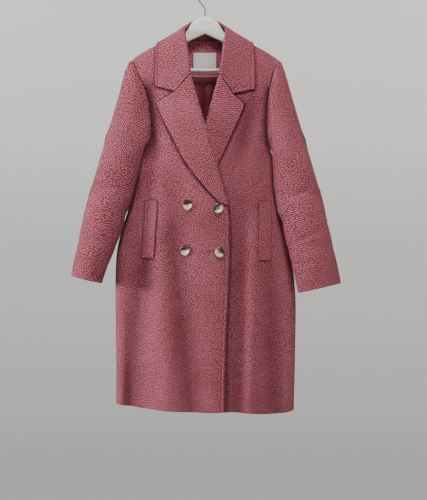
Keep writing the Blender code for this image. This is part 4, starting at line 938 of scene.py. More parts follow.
def sleeve(name, side, rows):
    """A sleeve: a smooth loft from the armhole through its ovals, with creases across it, each a bell along
    the sleeve that fades out round it. The cuff's edge is turned, and the inside is lined."""
    ring, swollen, angles = armhole_rings(side)
    rings = np.array([swollen] + oval_rings(rows, side, angles))
    points = np.concatenate([ring[None], through(rings, SLEEVE_ROWS)])
    ahead = lengths(points, 0)[0].mean(axis=1, keepdims=True)
    way = ahead / ahead[-1]
    total = np.zeros(points.shape[:2])
    for creases in (SLEEVE_FOLDS, SMALL_CREASES[name]):
        for place, round_at, reach, half, slant, depth in zip(*creases.values()):
            off = (np.degrees(angles)[None] - round_at + 180) % 360 - 180
            total += depth * np.exp(-((way - place - slant * off / 90) / half) ** 2 - (off / reach) ** 2)
    around = rows["across"].mean() * angles[None] + 0 * way
    total += uneven(around * np.sin(angles / 2), ahead) * sizes().unevenness * step(0.05, 0.20, way)
    points = points + grid_normals(points, closed=True) * side * (total * step(0.0, 0.06, way))[..., None]
    near = [shell["front_right" if side < 0 else "front_left"]["skin"], shell["back"]["skin"]]
    points[1:70] = keep_off(points[1:70], near, SLEEVE_GAP, limit=0.002)
    inner = points - grid_normals(points, closed=True) * side * TWEED
    outer, inner = soften(points, inner, {"top": SEAM_ROUND, "foot": TURN_ROUND})
    # Painted shade on the sleeve's inner side next to the body, fading in below the head and out towards the
    # cuff.
    turned = SLEEVE_SHADE["at"] - angles[None]
    painted_shade = SLEEVE_SHADE["strength"] * np.exp(-(turned / SLEEVE_SHADE["reach"]) ** 2)
    painted_shade = painted_shade * step(0.05, 0.25, way) * (1 - 0.7 * step(0.6, 1, way))
    made = wall_mesh(name + "_cloth", outer, inner, np.stack([around, -lengths(points, 0)[1]], axis=-1),
                     [finish("tweed"), finish("satin")], closed=True, painted_shade=painted_shade)
    return seat(made, "tweed", name)


# ---------------------------------------------------------------- lapels and collar
ROLL_GAP = 0.0013        # between the front's edge and the middle of the lapel's first edge
LAPEL_WAY = spaced(0.40, 0.0034, start=STITCHED_EDGE, end=SOFT_EDGE)[:, None]
TURN_COLUMNS = np.radians(np.linspace(-90, 90, 15))
LEAF_COLUMNS = spaced(0.12, 0.0032, end=STITCHED_EDGE)[1:]
COLLAR_STAND = np.linspace(0, 1, 9)[:-1]
COLLAR_TURN = np.radians(np.linspace(0, 180, 17))[:, None]
COLLAR_LEAF = spaced(0.10, 0.0032, end=STITCHED_EDGE)[1:]
COLLAR_WAY = spaced(0.66, 0.0034, start=STITCHED_EDGE, end=STITCHED_EDGE)


def lapel_middle(side, near):
    """The middle of a lapel's wall: it carries the front on past its edge, turns over half a circle and
    lies back on the front. The leaf's top edge bends down to the notch as a straight line with one
    corner."""
    column, inward, lift_of = ("right", 1, top_lift) if side < 0 else ("left", -1, lambda x, drop: 0.0)
    way = LAPEL_WAY
    roll_drop = GORGE + GORGE_GAP + (BREAK - LAPEL_END[column] - GORGE) * way
    roll_x = inward * curve(FRONT_EDGE, "out", roll_drop)
    radius = curve(LAPEL_ROLL, "radius", roll_drop)
    stand = curve(LAPEL_ROLL, column, roll_drop)
    start = body_point(roll_x, roll_drop, lift=lift_of(roll_x, roll_drop))
    middle_y = start[..., 1] + TWEED / 2
    turn_x = roll_x + inward * (ROLL_GAP * (1 + (1 - way) ** 4) + radius * np.cos(TURN_COLUMNS))
    turn_y = middle_y - radius * (1 + np.sin(TURN_COLUMNS))
    turned = np.stack([turn_x, turn_y, -roll_drop + 0 * turn_x], axis=-1)
    edge_low = LAPEL_EDGE["drop"][-1] - LAPEL_END[column] + LAPEL_END["right"]
    edge_top = LAPEL_TIP[column]
    edge_drop = edge_top + (edge_low - edge_top) * way
    edge_x = curve(LAPEL_EDGE, column, edge_drop)
    first_x = turn_x[:, -1:]
    x = first_x + (edge_x - first_x) * LEAF_COLUMNS
    drop = roll_drop + (edge_drop - roll_drop) * LEAF_COLUMNS
    notch_x, notch_drop = NOTCH[column]
    part = (notch_x - first_x[0, 0]) / (edge_x[0, 0] - first_x[0, 0])
    straight = roll_drop[0, 0] + (edge_top - roll_drop[0, 0]) * part
    bend = np.where(LEAF_COLUMNS < part, LEAF_COLUMNS / part, (1 - LEAF_COLUMNS) / (1 - part))
    drop = drop + (notch_drop - straight) * bend * (1 - way) ** 3
    face = body_point(x, drop, lift=lift_of(x, drop), ridges_only=True)
    rise = step(0, 1, LEAF_COLUMNS)
    face[..., 1] -= (2 * radius - TWEED / 2) * (1 - rise) + (TURNED / 2 + stand) * rise
    return np.concatenate([turned, keep_off(face, near, TURNED / 2 + LEAF_GAP)], axis=1)


def turned_piece(node, middle, thickness, outward, edges, margins):
    """A pressed double layer from the grid of its middle: half its thickness to either side, edges
    rounded."""
    normals = grid_normals(middle) * outward
    outer, inner = soften(middle + normals * thickness / 2, middle - normals * thickness / 2, edges, margins)
    made = wall_mesh(node + "_cloth", outer, inner, cloth_map(middle), [finish("tweed_turned")])
    return seat(made, "tweed_turned", node)


def lapel(side):
    """A lapel, with a stitched margin inside its outer edge and its top edge, and its free edges rounded."""
    near = [shell["front_right" if side < 0 else "front_left"]["skin"]]
    made = turned_piece("lapel_right" if side < 0 else "lapel_left", lapel_middle(side, near), TURNED, side,
                        {edge: TURN_ROUND / 2 for edge in ("top", "foot", "last")}, ("last", "top"))
    return made


def collar_section(side, row):
    """One section of the collar's middle: straight up from the neck seam, half a circle round the fold, and
    down to the leaf's edge by a cubic that leaves the fold with it and arrives along its own chord."""
    column = "right" if side < 0 else "left"
    behind = row["seam_back"]
    lift = top_lift(side * row["seam_out"], row["seam_drop"]) if side < 0 and behind <= 0 else 0.0
    seam = body_point(side * row["seam_out"], row["seam_drop"], back=behind > 0, lift=lift)
    down = row["seam_drop"] - curve(SHOULDER, "drop", row["seam_out"], key="out")
    left = 1 - np.clip(down / SHOULDER_ROUND, 0, 1)
    normal = np.array([0, behind * np.sqrt(1 - left**2) / SHOULDER_DEEP, left / SHOULDER_ROUND])
    normal /= np.linalg.norm(normal)
    seam = seam - normal * TWEED / 2
    fold = np.array([side * row["fold_out"], row["fold_y"], -row["fold_drop"]])
    if row["at_gorge"]:
        fold[1] = seam[1]
    up = (fold - seam) / np.linalg.norm(fold - seam)
    over = normal - up * (normal @ up)
    over /= np.linalg.norm(over)
    start = seam + up * COLLAR_GAP
    foot = fold - up * FOLD_RADIUS
    arc = foot + over * FOLD_RADIUS * (1 - np.cos(COLLAR_TURN)) + up * FOLD_RADIUS * np.sin(COLLAR_TURN)
    out, drop = CORNER[column] if row["at_gorge"] else (row["edge_out"], row["edge_drop"])
    wrap = row["edge_wrap"]
    rest = TURNED / 2 + COLLAR_REST
    if wrap:
        edge = body_point(side * out, drop, back=wrap > 0, ridges_only=True) + (0, wrap * rest, 0)
    else:
        edge = body_point(side * out, curve(SHOULDER, "drop", out, key="out")) + (0, 0, rest + RIDGE_REST)
    reach = edge - arc[-1]
    spring = up * np.linalg.norm(reach) * LEAF_SPRING
    t = COLLAR_LEAF[:, None]
    leaf = ((2 * t**3 - 3 * t**2 + 1) * arc[-1] - (t**3 - 2 * t**2 + t) * spring
            + (3 * t**2 - 2 * t**3) * edge + (t**3 - t**2) * reach)
    return np.concatenate([start + (foot - start) * COLLAR_STAND[:, None], arc, leaf])


def collar_middle(near):
    """The middle of the collar's wall, from its right front end round the neck to its left one. Its ends bend
    down to the notch, so that they meet the lapels along the gorge."""
    rows = [dict(zip(COLLAR, values)) for values in zip(*COLLAR.values())]
    halves = [np.array([collar_section(side, row) for row in rows]) for side in (-1, 1)]
    first_leaf = len(COLLAR_STAND) + len(COLLAR_TURN) - 1
    for half, column in zip(halves, ("right", "left")):
        notch_x, notch_drop = NOTCH[column]
        first, last = half[-1, first_leaf].copy(), half[-1, -1].copy()
        part = (notch_x - first[0]) / (last[0] - first[0])
        across = (half[-1, first_leaf:, 0] - first[0]) / (last[0] - first[0])
        bend = np.where(across < part, across / part, (1 - across) / (1 - part))
        down = notch_drop - SEAM * 2 + first[2] + (last[2] - first[2]) * part
        for back, share in ((1, 1.0), (2, 0.30), (3, 0.05)):
            half[-back, first_leaf:, 2] -= bend * down * share
    keys = np.concatenate([halves[0][:0:-1], halves[1]])
    grid = through(keys, COLLAR_WAY * (len(keys) - 1))
    leaf = first_leaf + len(COLLAR_LEAF) // 5
    grid[:, leaf:] = keep_off(grid[:, leaf:], near, TURNED / 2 + LEAF_GAP)
    return grid


def collar():
    """The collar, with a stitched margin inside its leaf's edge and its two ends."""
    near = [shell[name]["skin"] for name in ("front_right", "front_left", "back")]
    made = turned_piece("collar", collar_middle(near), COLLAR_WALL, -1,
                        {edge: TURN_ROUND / 2 for edge in ("top", "foot", "last")}, ("last", "top", "foot"))
    return made


# ---------------------------------------------------------------- pieces on the shell
HOLE_OUT = 0.0026        # how far from a button's middle its four sewing holes lie,
HOLE_RADIUS = 0.0010     # their radius
HOLE_DEEP = 0.0009       # and their depth
# A button's profile beyond its dish, by share of its radius and of its thickness: rim, edge, back and stem.
BUTTON_RIM = table("out up", (0.800, 0.985), (0.830, 1.000), (0.870, 1.010), (0.910, 1.000), (0.945, 0.970),
                   (0.972, 0.920), (0.990, 0.850), (1.000, 0.760), (1.000, 0.500), (0.998, 0.320),
                   (0.985, 0.190), (0.960, 0.090), (0.920, 0.030), (0.860, 0.000), (0.500, 0.000),
                   (0.200, 0.000))
BUTTON_AROUND = 80
DARK_AT = (88, 45, 78, 135)                      # where each button's dark horn lies, in degrees
THREAD = 0.0006                                  # radius of the sewing thread
BUTTONHOLE = table("x drop half slant", (0.0170, 0.7540, 0.0120, 4))


def pocket(side, top, low, top_in, low_in, wide):
    """A welt pocket: a pressed strip that follows the front's face a gap out, with rounded edges and a
    stitched margin along its free outer edge."""
    down = spaced(low - top, 0.0035, start=SOFT_EDGE, end=SOFT_EDGE)[:, None]
    over = spaced(wide, 0.0026, start=SOFT_EDGE, end=STITCHED_EDGE)[None]
    x = side * (top_in + (low_in - top_in) * down + wide * over)
    drop = top + (low - top) * down + 0 * over
    front = "front_right" if side < 0 else "front_left"
    face = body_point(x, drop, lift=top_lift(x, drop) if side < 0 else 0.0)
    under = keep_off(face, [shell[front]["skin"]], WELT_REST)
    edges = {edge: TURN_ROUND / 2 for edge in ("top", "foot", "first", "last")}
    outer, inner = soften(under - (0, WELT, 0), under, edges, ("last",))
    node = "pocket_right" if side < 0 else "pocket_left"
    made = wall_mesh(node + "_welt", outer, inner, cloth_map(outer), [finish("tweed_turned")])
    return seat(made, "tweed_turned", node)


def button_place(x, drop, tip):
    """The foot of a button's stem on the top front, and its right, up and outward directions."""
    span = BUTTON_SPAN
    corners = [body_point(x + right, drop - up, lift=top_lift(x + right, drop - up))
               for right, up in ((-span, 0), (span, 0), (0, -span), (0, span))]
    normal = np.cross(corners[1] - corners[0], corners[3] - corners[2])
    normal = normal / np.linalg.norm(normal) + (0, 0, sin(radians(tip)))
    normal /= np.linalg.norm(normal)
    right = np.cross((0, 0, 1.0), normal)
    right /= -np.linalg.norm(right)
    place = body_point(x, drop, lift=top_lift(x, drop))
    foot = keep_off(place[None], [shell["front_right"]["skin"]], BUTTON_GAP)[0]
    return foot, right, np.cross(right, normal), normal


def button(index, x, drop, tip, dark_at):
    """A horn button on its thread stem: a turned profile with a rounded rim round a shallow dish, and four
    sewing holes sunk into the dish as soft steps. Its map is in button radii, turned so that the dark horn
    lies where it should."""
    foot, right, up, normal = button_place(x, drop, tip)
    turn = np.linspace(0, 2 * pi, BUTTON_AROUND, endpoint=False)[None]
    dish = np.linspace(0.02, 0.78, 36)[:, None]
    radius = np.concatenate([dish, BUTTON_RIM["out"][:, None], [[0.19]]]) * BUTTON_RADIUS
    height = np.concatenate([BUTTON_THICK - BUTTON_DISH * (1 - step(0.35, 0.80, dish)),
                             BUTTON_RIM["up"][:, None] * BUTTON_THICK, [[0.0004 - BUTTON_STEM]]]) + 0 * turn
    for quarter in range(4):
        at = pi / 4 + quarter * pi / 2
        away = np.hypot(radius * np.cos(turn) - HOLE_OUT * cos(at),
                        radius * np.sin(turn) - HOLE_OUT * sin(at))
        height[:len(dish)] -= HOLE_DEEP * (1 - step(HOLE_RADIUS * 0.6, HOLE_RADIUS * 1.3, away[:len(dish)]))
    flat = np.stack([radius * np.cos(turn), radius * np.sin(turn)], axis=-1)
    points = foot + flat[..., :1] * right + flat[..., 1:] * up + (height[..., None] + BUTTON_STEM) * normal
    spin = radians(90 - dark_at)
    uv = np.stack([flat[..., 0] * cos(spin) - flat[..., 1] * sin(spin),
                   flat[..., 0] * sin(spin) + flat[..., 1] * cos(spin)], axis=-1) / BUTTON_RADIUS
    uv[..., 0] += 7 * index
    made = tube_mesh(f"button_{index}_horn", points, uv, finish("horn"))
    seat(made, "horn", f"button_{index}")
    hole = HOLE_OUT * np.array([[cos(pi / 4 + k * pi / 2), sin(pi / 4 + k * pi / 2)] for k in range(4)])
    for pair, (first, second) in enumerate(((0, 2), (1, 3))):
        way = np.linspace(0, 1, 13)[:, None]
        line = hole[first] + (hole[second] - hole[first]) * way
        rise = BUTTON_THICK - BUTTON_DISH + 0.0011 * np.sin(way * pi) ** 0.6 - 0.0006 + 0.0004 * pair
        path = foot + line[:, :1] * right + line[:, 1:] * up + (rise + BUTTON_STEM) * normal
        thread = wire_mesh(f"button_{index}_thread_{pair + 1}", path, THREAD, 10, finish("thread"))
        seat(thread, "tweed_turned")
    return made


def buttonhole(index, x, drop, half, slant):
    """A worked buttonhole: a long thin oval ring of thread, ridged by its stitches, on the top front's
    face."""
    turn = np.linspace(0, 2 * pi, 181)[:-1]
    along = half * np.sign(np.cos(turn)) * np.abs(np.cos(turn)) ** 0.7
    across = 0.0011 * np.sin(turn)
    lean = radians(slant)
    px, pd = x + along * cos(lean) + across * sin(lean), drop + across * cos(lean) - along * sin(lean)
    path = body_point(px, pd, lift=top_lift(px, pd))
    path = keep_off(path, [shell["front_right"]["skin"]], THREAD)
    path = np.concatenate([path, path[:1]])
    radius = 0.0008 * (1 + 0.25 * np.sin(np.arange(len(path)) * pi / 1.5))
    return seat(wire_mesh(f"buttonhole_{index}", path, radius, 8, finish("thread")), "tweed_turned")


def tube_mesh(name, points, uv, made_of):
    """A surface of rings, each closed on itself, with its two ends filled by fans from their middles."""
    count, around = points.shape[:2]
    number = ring_numbers(count, around)
    quads = grid_quads(number)
    first, last = np.full(around, count * around), np.full(around, count * around + 1)
    fans = np.concatenate([np.stack([number[0, :-1], number[0, 1:], first], axis=1),
                           np.stack([number[-1, 1:], number[-1, :-1], last], axis=1)])
    places = np.concatenate([points.reshape(-1, 3), [points[0].mean(axis=0), points[-1].mean(axis=0)]])
    places_uv = np.concatenate([uv.reshape(-1, 2), [uv[0].mean(axis=0), uv[-1].mean(axis=0)]])
    return put_mesh(name, places, quads, places_uv, [made_of], fans=fans)


def wire_mesh(name, path, radius, sides, made_of):
    """A round section carried along a path. The section's directions are square to the path's slope: one is
    the slope crossed with the line to the viewer, the other is crossed with that."""
    slope = np.gradient(path, axis=0)
    slope /= np.linalg.norm(slope, axis=1, keepdims=True)
    aside = np.cross(slope, (0, 1.0, 0))
    aside /= np.maximum(np.linalg.norm(aside, axis=1, keepdims=True), 1e-9)
    off = np.cross(aside, slope)
    turn = np.linspace(0, 2 * pi, sides, endpoint=False)
    radius = np.broadcast_to(np.asarray(radius, float), len(path))[:, None, None]
    points = (path[:, None] + radius * (np.cos(turn)[None, :, None] * aside[:, None]
                                        + np.sin(turn)[None, :, None] * off[:, None]))
    ahead = path_ways(path)
    around = np.repeat(turn[None] * radius.mean(), len(path), axis=0)
    uv = np.stack([around, ahead[:, None] + 0 * turn], axis=-1)
    return tube_mesh(name, points, uv, made_of)


# ---------------------------------------------------------------- inside the neck
def inside_back(x, top, low, pitch, clear, ripple=0.0):
    """A grid inside the back between two lines of drop: points of the back's inner face, moved off it, with
    soft upright ripples where it has them."""
    down = spaced(float(np.mean(low - top)), pitch, start=SOFT_EDGE, end=SOFT_EDGE)[:, None]
    drop = top + (low - top) * down
    behind = body_point(x + 0 * down, drop, back=True) - (0, TWEED, 0)
    behind = keep_off(behind, [shell["back"]["inside"]], clear)
    phase = x * 2 * pi / RIPPLE + 0.8 * np.sin(20 * drop)
    small = np.sin(phase * 2.3 + 5 * drop) * 0.35 + np.sin(phase * 0.6 + 1.0) * 0.4
    behind[..., 1] -= ripple * (1.4 + np.sin(phase) + small) * 0.75 * step(0, 0.3, down)
    return behind


def neck_piece(name, behind, thickness, node, slot, edges=("top", "foot", "first", "last")):
    """A wall in front of a grid inside the back, with rounded edges."""
    outer, inner = soften(behind - (0, thickness, 0), behind, {edge: thickness / 2 for edge in edges})
    made = wall_mesh(name, outer, inner, cloth_map(outer), [finish(slot)])
    return seat(made, slot, node)


def neck_inside():
    """What shows in the neck: the tweed facing with its piped edge, the satin below it, and the bare label
    with its border of stitches."""
    x = spaced(2 * FACING_HALF, 0.0030, start=SOFT_EDGE, end=SOFT_EDGE)[None] * 2 * FACING_HALF - FACING_HALF
    top = curve(BACK_NECK, "drop", np.abs(x), key="out") + FACING_DOWN
    low = curve(NECK_FACING, "low", np.abs(x), key="out")
    facing = inside_back(x, top, low, 0.0030, INSIDE_GAP)
    neck_piece("neck_facing_cloth", facing, FACING, "neck_facing", "tweed_turned")
    edge = facing[-1, 2:-2] - (0, FACING / 2, 0)
    seat(wire_mesh("neck_piping", edge, sizes().piping, 10, finish("piping")), "tweed_turned")
    x = spaced(2 * LINING_HALF, 0.0016, start=SOFT_EDGE, end=SOFT_EDGE)[None] * 2 * LINING_HALF - LINING_HALF
    top = curve(NECK_FACING, "low", np.abs(x), key="out") + 2 * SEAM
    lining = inside_back(x, top, LINING_LOW + 0 * x, 0.0034, INSIDE_GAP, ripple=2.2 * RIPPLE_DEEP)
    neck_piece("back_lining_satin", lining, SATIN, "back_lining", "satin")
    wide = LABEL["right"] - LABEL["left"]
    x = LABEL["left"] + wide * spaced(wide, 0.0016, start=SOFT_EDGE, end=SOFT_EDGE)[None]
    label = inside_back(x, LABEL["top"] + 0 * x, LABEL["low"] + 0 * x, 0.0016, FACING + 2 * INSIDE_GAP)
    neck_piece("neck_label_tape", label, SATIN, "neck_label", "label_cloth")
    inset = len(SOFT_EDGE)
    border = np.concatenate([label[inset, inset:-inset], label[inset:-inset, -inset - 1],
                             label[-inset - 1, inset:-inset][::-1], label[inset:-inset, inset][::-1]])
    stitches(border - (0, SATIN, 0), "label_stitches", 0.0032, 0.00028)


def stitches(path, name, pitch, radius):
    """A row of stitches along a path as one mesh: short flattened threads, each a pitch from the next."""
    ahead = path_ways(path)
    starts = np.arange(0, ahead[-1] - pitch, pitch)
    t = np.linspace(0, 1, 7)[None]
    at = starts[:, None] + t * pitch * 0.62
    lines = np.stack([np.interp(at, ahead, path[:, axis]) for axis in range(3)], axis=-1)
    lines[..., 1] -= radius * 1.2 * np.sin(t * pi) - radius * 0.4
    slope = np.gradient(lines, axis=1)
    slope /= np.linalg.norm(slope, axis=-1, keepdims=True)
    aside = np.cross(slope, (0, 1.0, 0))
    aside /= np.maximum(np.linalg.norm(aside, axis=-1, keepdims=True), 1e-9)
    off = np.cross(aside, slope)
    turn = np.linspace(0, 2 * pi, 6, endpoint=False)
    thick = (radius * (0.35 + 0.65 * np.sin(t * pi)))[..., None, None]
    section = np.cos(turn)[:, None] * aside[:, :, None] + np.sin(turn)[:, None] * off[:, :, None]
    rings = lines[:, :, None] + thick * section
    count, rows, around = rings.shape[:3]
    number = np.arange(count * rows * around).reshape(count, rows, around)
    number = np.concatenate([number, number[..., :1]], axis=2)
    corners = [number[:, :-1, :-1], number[:, 1:, :-1], number[:, 1:, 1:], number[:, :-1, 1:]]
    quads = np.stack([corner.ravel() for corner in corners], axis=1)
    fans = [np.stack([ring[:, 0], ring[:, spoke], ring[:, spoke + 1]], axis=1)
            for ring in (number[:, 0], number[:, -1, ::-1]) for spoke in range(1, around - 1)]
    uv = np.zeros((rings.size // 3, 2))
    made = put_mesh(name, rings.reshape(-1, 3), quads, uv, [finish("thread")], fans=np.concatenate(fans))
    return seat(made, "tweed_turned")


# ---------------------------------------------------------------- the hanger
def hanger():
    """The white hanger: a squared oval carried from one end of its arms to the other, with a wooden bar. Each
    section's half height and depth come from the hanger's sizes."""
    turn = np.linspace(0, 2 * pi, 40, endpoint=False)
    across, along = (np.sign(wave) * np.abs(wave) ** HANGER_SQUARE for wave in (np.cos(turn), np.sin(turn)))
    reach = HANGER["out"][-1]
    out = np.concatenate([-reach + reach * spaced(reach, 0.0020, end=SOFT_EDGE)[:-1],
                          reach * spaced(reach, 0.0020, start=SOFT_EDGE)])
    top, low, deep = (curve(HANGER, name, np.abs(out), key="out")[:, None] for name in ("top", "low", "deep"))
    ends = np.sqrt(np.clip(1 - (np.abs(out) / reach)[:, None] ** 60, 0.02, 1))
    rings = np.stack([out[:, None] + 0 * turn, deep * across * ends,
                      (low - top) / 2 * along * ends - (top + low) / 2], axis=-1)
    uv = np.stack([out[:, None] + 0 * turn, turn * 0.02 + 0 * out[:, None]], axis=-1)
    body = tube_mesh("hanger_arms", rings, uv, finish("hanger_paint"))
    seat(body, "hanger_paint", "hanger_body")
    way = np.linspace(-1, 1, 60)
    bar = np.stack([BAR_HALF * way, 0 * way, -BAR_DROP + 0 * way], axis=1)
    narrow = BAR_RADIUS * np.minimum(1, 0.75 + (1 - np.abs(way)) * 8)
    seat(wire_mesh("hanger_rod", bar, narrow, 32, finish("hanger_paint")), "hanger_paint", "hanger_bar")


def hook():
    """The wire hook: up out of the hanger, out to the side and round over the rail as part of a circle,
    ending in a rounded tip."""
    centre = WIRE - HOOK_RADIUS
    turn = np.radians(np.linspace(*HOOK_TURN, 90))
    arc = np.stack([HOOK_RADIUS * np.cos(turn), centre + HOOK_RADIUS * np.sin(turn)], axis=1)
    stem = np.stack([HOOK_STEM["x"], -HOOK_STEM["drop"]], axis=1)
    keys = np.concatenate([stem, arc[::6]])
    line = through(keys, np.linspace(0, len(keys) - 1, 16 * len(keys)))
    path = np.stack([line[:, 0], 0 * line[:, 0], line[:, 1]], axis=1)
    ahead = path_ways(path)
    left = ahead[-1] - ahead
    radius = WIRE * np.sqrt(np.clip(1 - (1 - np.clip(left / WIRE, 0, 1)) ** 2, 0.02, 1))
    seat(wire_mesh("hook_wire", path, radius, 28, finish("hook_steel")), "hook_steel", "hanger_hook")


# ---------------------------------------------------------------- the studio
def cove():
    """A pale cove: a floor, a quarter circle up and a wall all round, as a profile turned about the coat."""
    floor = np.linspace(0.001, COVE_WALL - COVE_BEND, 12)
    bend = np.radians(np.linspace(0, 90, 24))
    out = np.concatenate([floor, COVE_WALL - COVE_BEND + COVE_BEND * np.sin(bend)[1:], [COVE_WALL] * 6])
    up = np.concatenate([0 * floor, COVE_BEND * (1 - np.cos(bend))[1:],
                         COVE_BEND + np.linspace(0.5, COVE_HIGH, 6)])
    turn = np.linspace(0, 2 * pi, 96, endpoint=False)
    points = np.stack([out[:, None] * np.cos(turn), out[:, None] * np.sin(turn),
                       COVE_FLOOR + up[:, None] + 0 * turn], axis=-1)
    count, around = points.shape[:2]
    number = ring_numbers(count, around)
    corners = number[:-1, :-1], number[:-1, 1:], number[1:, 1:], number[1:, :-1]
    quads = np.stack(corners, axis=-1).reshape(-1, 4)
    places = points.reshape(-1, 3)
    made = put_mesh("studio_cove", places, quads, places[:, :2], [cove_finish()])


COVE_FLOOR = -2.3
COVE_WALL = 6.5
COVE_BEND = 1.6
COVE_HIGH = 3.5


def cove_finish():
    """Matt off-white paint with a very slow random drift of tone, a painted tint from cool at the left to
    warm at the right, and painted shade darker towards the floor.
    """
    made, tree, shader, node, sums = shader_tree("studio_paint", Roughness=0.95)
    place = node("ShaderNodeTexCoord").outputs["Object"]
    drift = node("ShaderNodeTexNoise", Scale=0.4, Detail=2.0, Vector=place).outputs[0]
    split = node("ShaderNodeSeparateXYZ", Vector=place)
    # Painted light: the tint leans from cool at the left to warm at the right, as the lamps' light does, with
    # a random drift on top.
    warm = sums("ADD", sums("MULTIPLY", split.outputs[0], 0.12), drift)
    # Painted shade: the wall darkens towards the floor.
    up = sums("MULTIPLY", sums("SUBTRACT", split.outputs[2], COVE_FLOOR), 1 / WALL_PAINTED_SHADE_HIGH)
    shade = node("ShaderNodeMix", data_type="RGBA", blend_type="MULTIPLY")
    shade.inputs[0].default_value = 1.0
    tree.links.new(ramp(node, warm, (0.2, WALL_COOL), (0.8, WALL_WARM)), shade.inputs[6])
    tree.links.new(ramp(node, up, (0.0, WALL_PAINTED_SHADE), (1.0, (1.0, 1.0, 1.0))), shade.inputs[7])
    tree.links.new(shade.outputs[2], shader.inputs["Base Color"])
    return made


# Tints of the painted light across the wall: cool at the left, warm at the right.
WALL_COOL = (0.650, 0.665, 0.680)
WALL_WARM = (0.690, 0.670, 0.640)
WALL_PAINTED_SHADE = (0.620, 0.620, 0.630)                # the share of its tone that the painted shade leaves at the floor, and the height up to which that fades
WALL_PAINTED_SHADE_HIGH = 2.4                             # and the height up to which that fades


def light(name, place, aim, size, power, colour):
    """A square area light at a place, turned to its aim."""
    lamp = bpy.data.lights.new(name, "AREA")
    lamp.shape, lamp.size, lamp.energy, lamp.color = "SQUARE", size, power, colour
    made = bpy.data.objects.new(name, lamp)
    made.location = place
    made.rotation_euler = (Vector(aim) - Vector(place)).to_track_quat("-Z", "Y").to_euler()
    bpy.context.scene.collection.objects.link(made)


def camera():
    """The camera in front of the coat, at the height and distance of the photograph's."""
    lens = bpy.data.cameras.new("camera")
    lens.sensor_width = SENSOR
    lens.lens = SENSOR * (COAT_PLANE - CAMERA[1]) / VIEW_HIGH
    made = bpy.data.objects.new("camera", lens)
    made.location = CAMERA
    made.rotation_euler = (Vector(AIM) - Vector(CAMERA)).to_track_quat("-Z", "Y").to_euler()
    bpy.context.scene.collection.objects.link(made)
    bpy.context.scene.camera = made


SENSOR = 36.0
VIEW_HIGH = 1.406                                 # metres seen from top to bottom at the coat's plane
COAT_PLANE = -0.035
CAMERA = (0.024, -3.2, -0.735)
AIM = (0.024, 0.0, -0.752)


# ---------------------------------------------------------------- what a user would change
def colour_property(name, description, default):
    """A colour of the coat, linear."""
    return bpy.props.FloatVectorProperty(name=name, description=description, default=default, size=3, min=0.0,
                                         max=1.0, subtype="COLOR")


class CoatColours(bpy.types.PropertyGroup):
    """The colours of the cloth, the trimmings and the hanger."""
    tweed_dark: colour_property("Tweed, dark", "Dark flecks of the tweed", (0.060, 0.006, 0.009))
    tweed_mid: colour_property("Tweed, middle", "Ground of the tweed", (0.215, 0.021, 0.039))
    tweed_pink: colour_property("Tweed, pink", "Pink yarn of the tweed", (0.365, 0.052, 0.090))
    tweed_light: colour_property("Tweed, light", "Light flecks of the tweed", (0.720, 0.265, 0.320))
    tweed_brick: colour_property("Tweed, brick", "Brick red yarn of the tweed", (0.205, 0.024, 0.028))
    satin: colour_property("Lining", "Satin of the lining", (0.170, 0.020, 0.036))
    label: colour_property("Label", "Tape of the bare label", (0.840, 0.830, 0.800))
    horn: colour_property("Button, cream", "Light part of the horn", (0.640, 0.540, 0.400))
    horn_dark: colour_property("Button, brown", "Dark part of the horn", (0.040, 0.014, 0.008))
    paint: colour_property("Hanger", "Paint of the hanger", (0.840, 0.810, 0.740))
    wire: colour_property("Hook", "Wire of the hook", (0.420, 0.420, 0.430))
    thread: colour_property("Thread", "Sewing thread", (0.160, 0.035, 0.045))
    piping: colour_property("Piping", "Satin edge of the facing", (0.800, 0.520, 0.520))


def size_property(name, description, default, low, high):
    """A size of the coat's finish, in metres."""
    return bpy.props.FloatProperty(name=name, description=description, default=default, min=low, max=high,
                                   subtype="DISTANCE", unit="LENGTH")


class CoatSizes(bpy.types.PropertyGroup):
    """The sizes of the coat's finish."""
    unevenness: size_property("Unevenness", "Height of the hung cloth's soft waves", 0.0011, 0.0, 0.004)
    groove: size_property("Stitch groove", "Depth of the topstitched grooves", 0.0014, 0.0, 0.002)
    swell: size_property("Margin swell", "Height of a stitched margin", 0.0012, 0.0, 0.002)
    column: size_property("Herringbone column", "Width of one column of the weave", 0.0125, 0.004, 0.03)
    rib: size_property("Herringbone rib", "Spacing of the ribs down the cloth", 0.0062, 0.002, 0.02)
    piping: size_property("Piping", "Radius of the facing's piped edge", 0.0011, 0.0005, 0.002)


class COAT_OT_fronts(bpy.types.Operator):
    """The two fronts, cut to the neck, the roll line and the free front edge"""
    bl_idname = "coat.fronts"
    bl_label = "Make the fronts"

    def execute(self, context):
        shell_panel("front_right", front_grid(-1), lift=top_lift, margins=("first",))
        shell_panel("front_left", front_grid(1))
        return {"FINISHED"}


class COAT_OT_back(bpy.types.Operator):
    """The back, from armhole to armhole"""
    bl_idname = "coat.back"
    bl_label = "Make the back"

    def execute(self, context):
        shell_panel("back", back_grid(), back=True)
        return {"FINISHED"}


class COAT_OT_sleeves(bpy.types.Operator):
    """The two set-in sleeves"""
    bl_idname = "coat.sleeves"
    bl_label = "Make the sleeves"

    def execute(self, context):
        sleeve("sleeve_right", -1, SLEEVE_RIGHT)
        sleeve("sleeve_left", 1, SLEEVE_LEFT)
        return {"FINISHED"}


class COAT_OT_lapels(bpy.types.Operator):
    """The two turned-back lapels"""
    bl_idname = "coat.lapels"
    bl_label = "Make the lapels"

    def execute(self, context):
        lapel(-1)
        lapel(1)
        return {"FINISHED"}


class COAT_OT_collar(bpy.types.Operator):
    """The collar"""
    bl_idname = "coat.collar"
    bl_label = "Make the collar"

    def execute(self, context):
        collar()
        return {"FINISHED"}


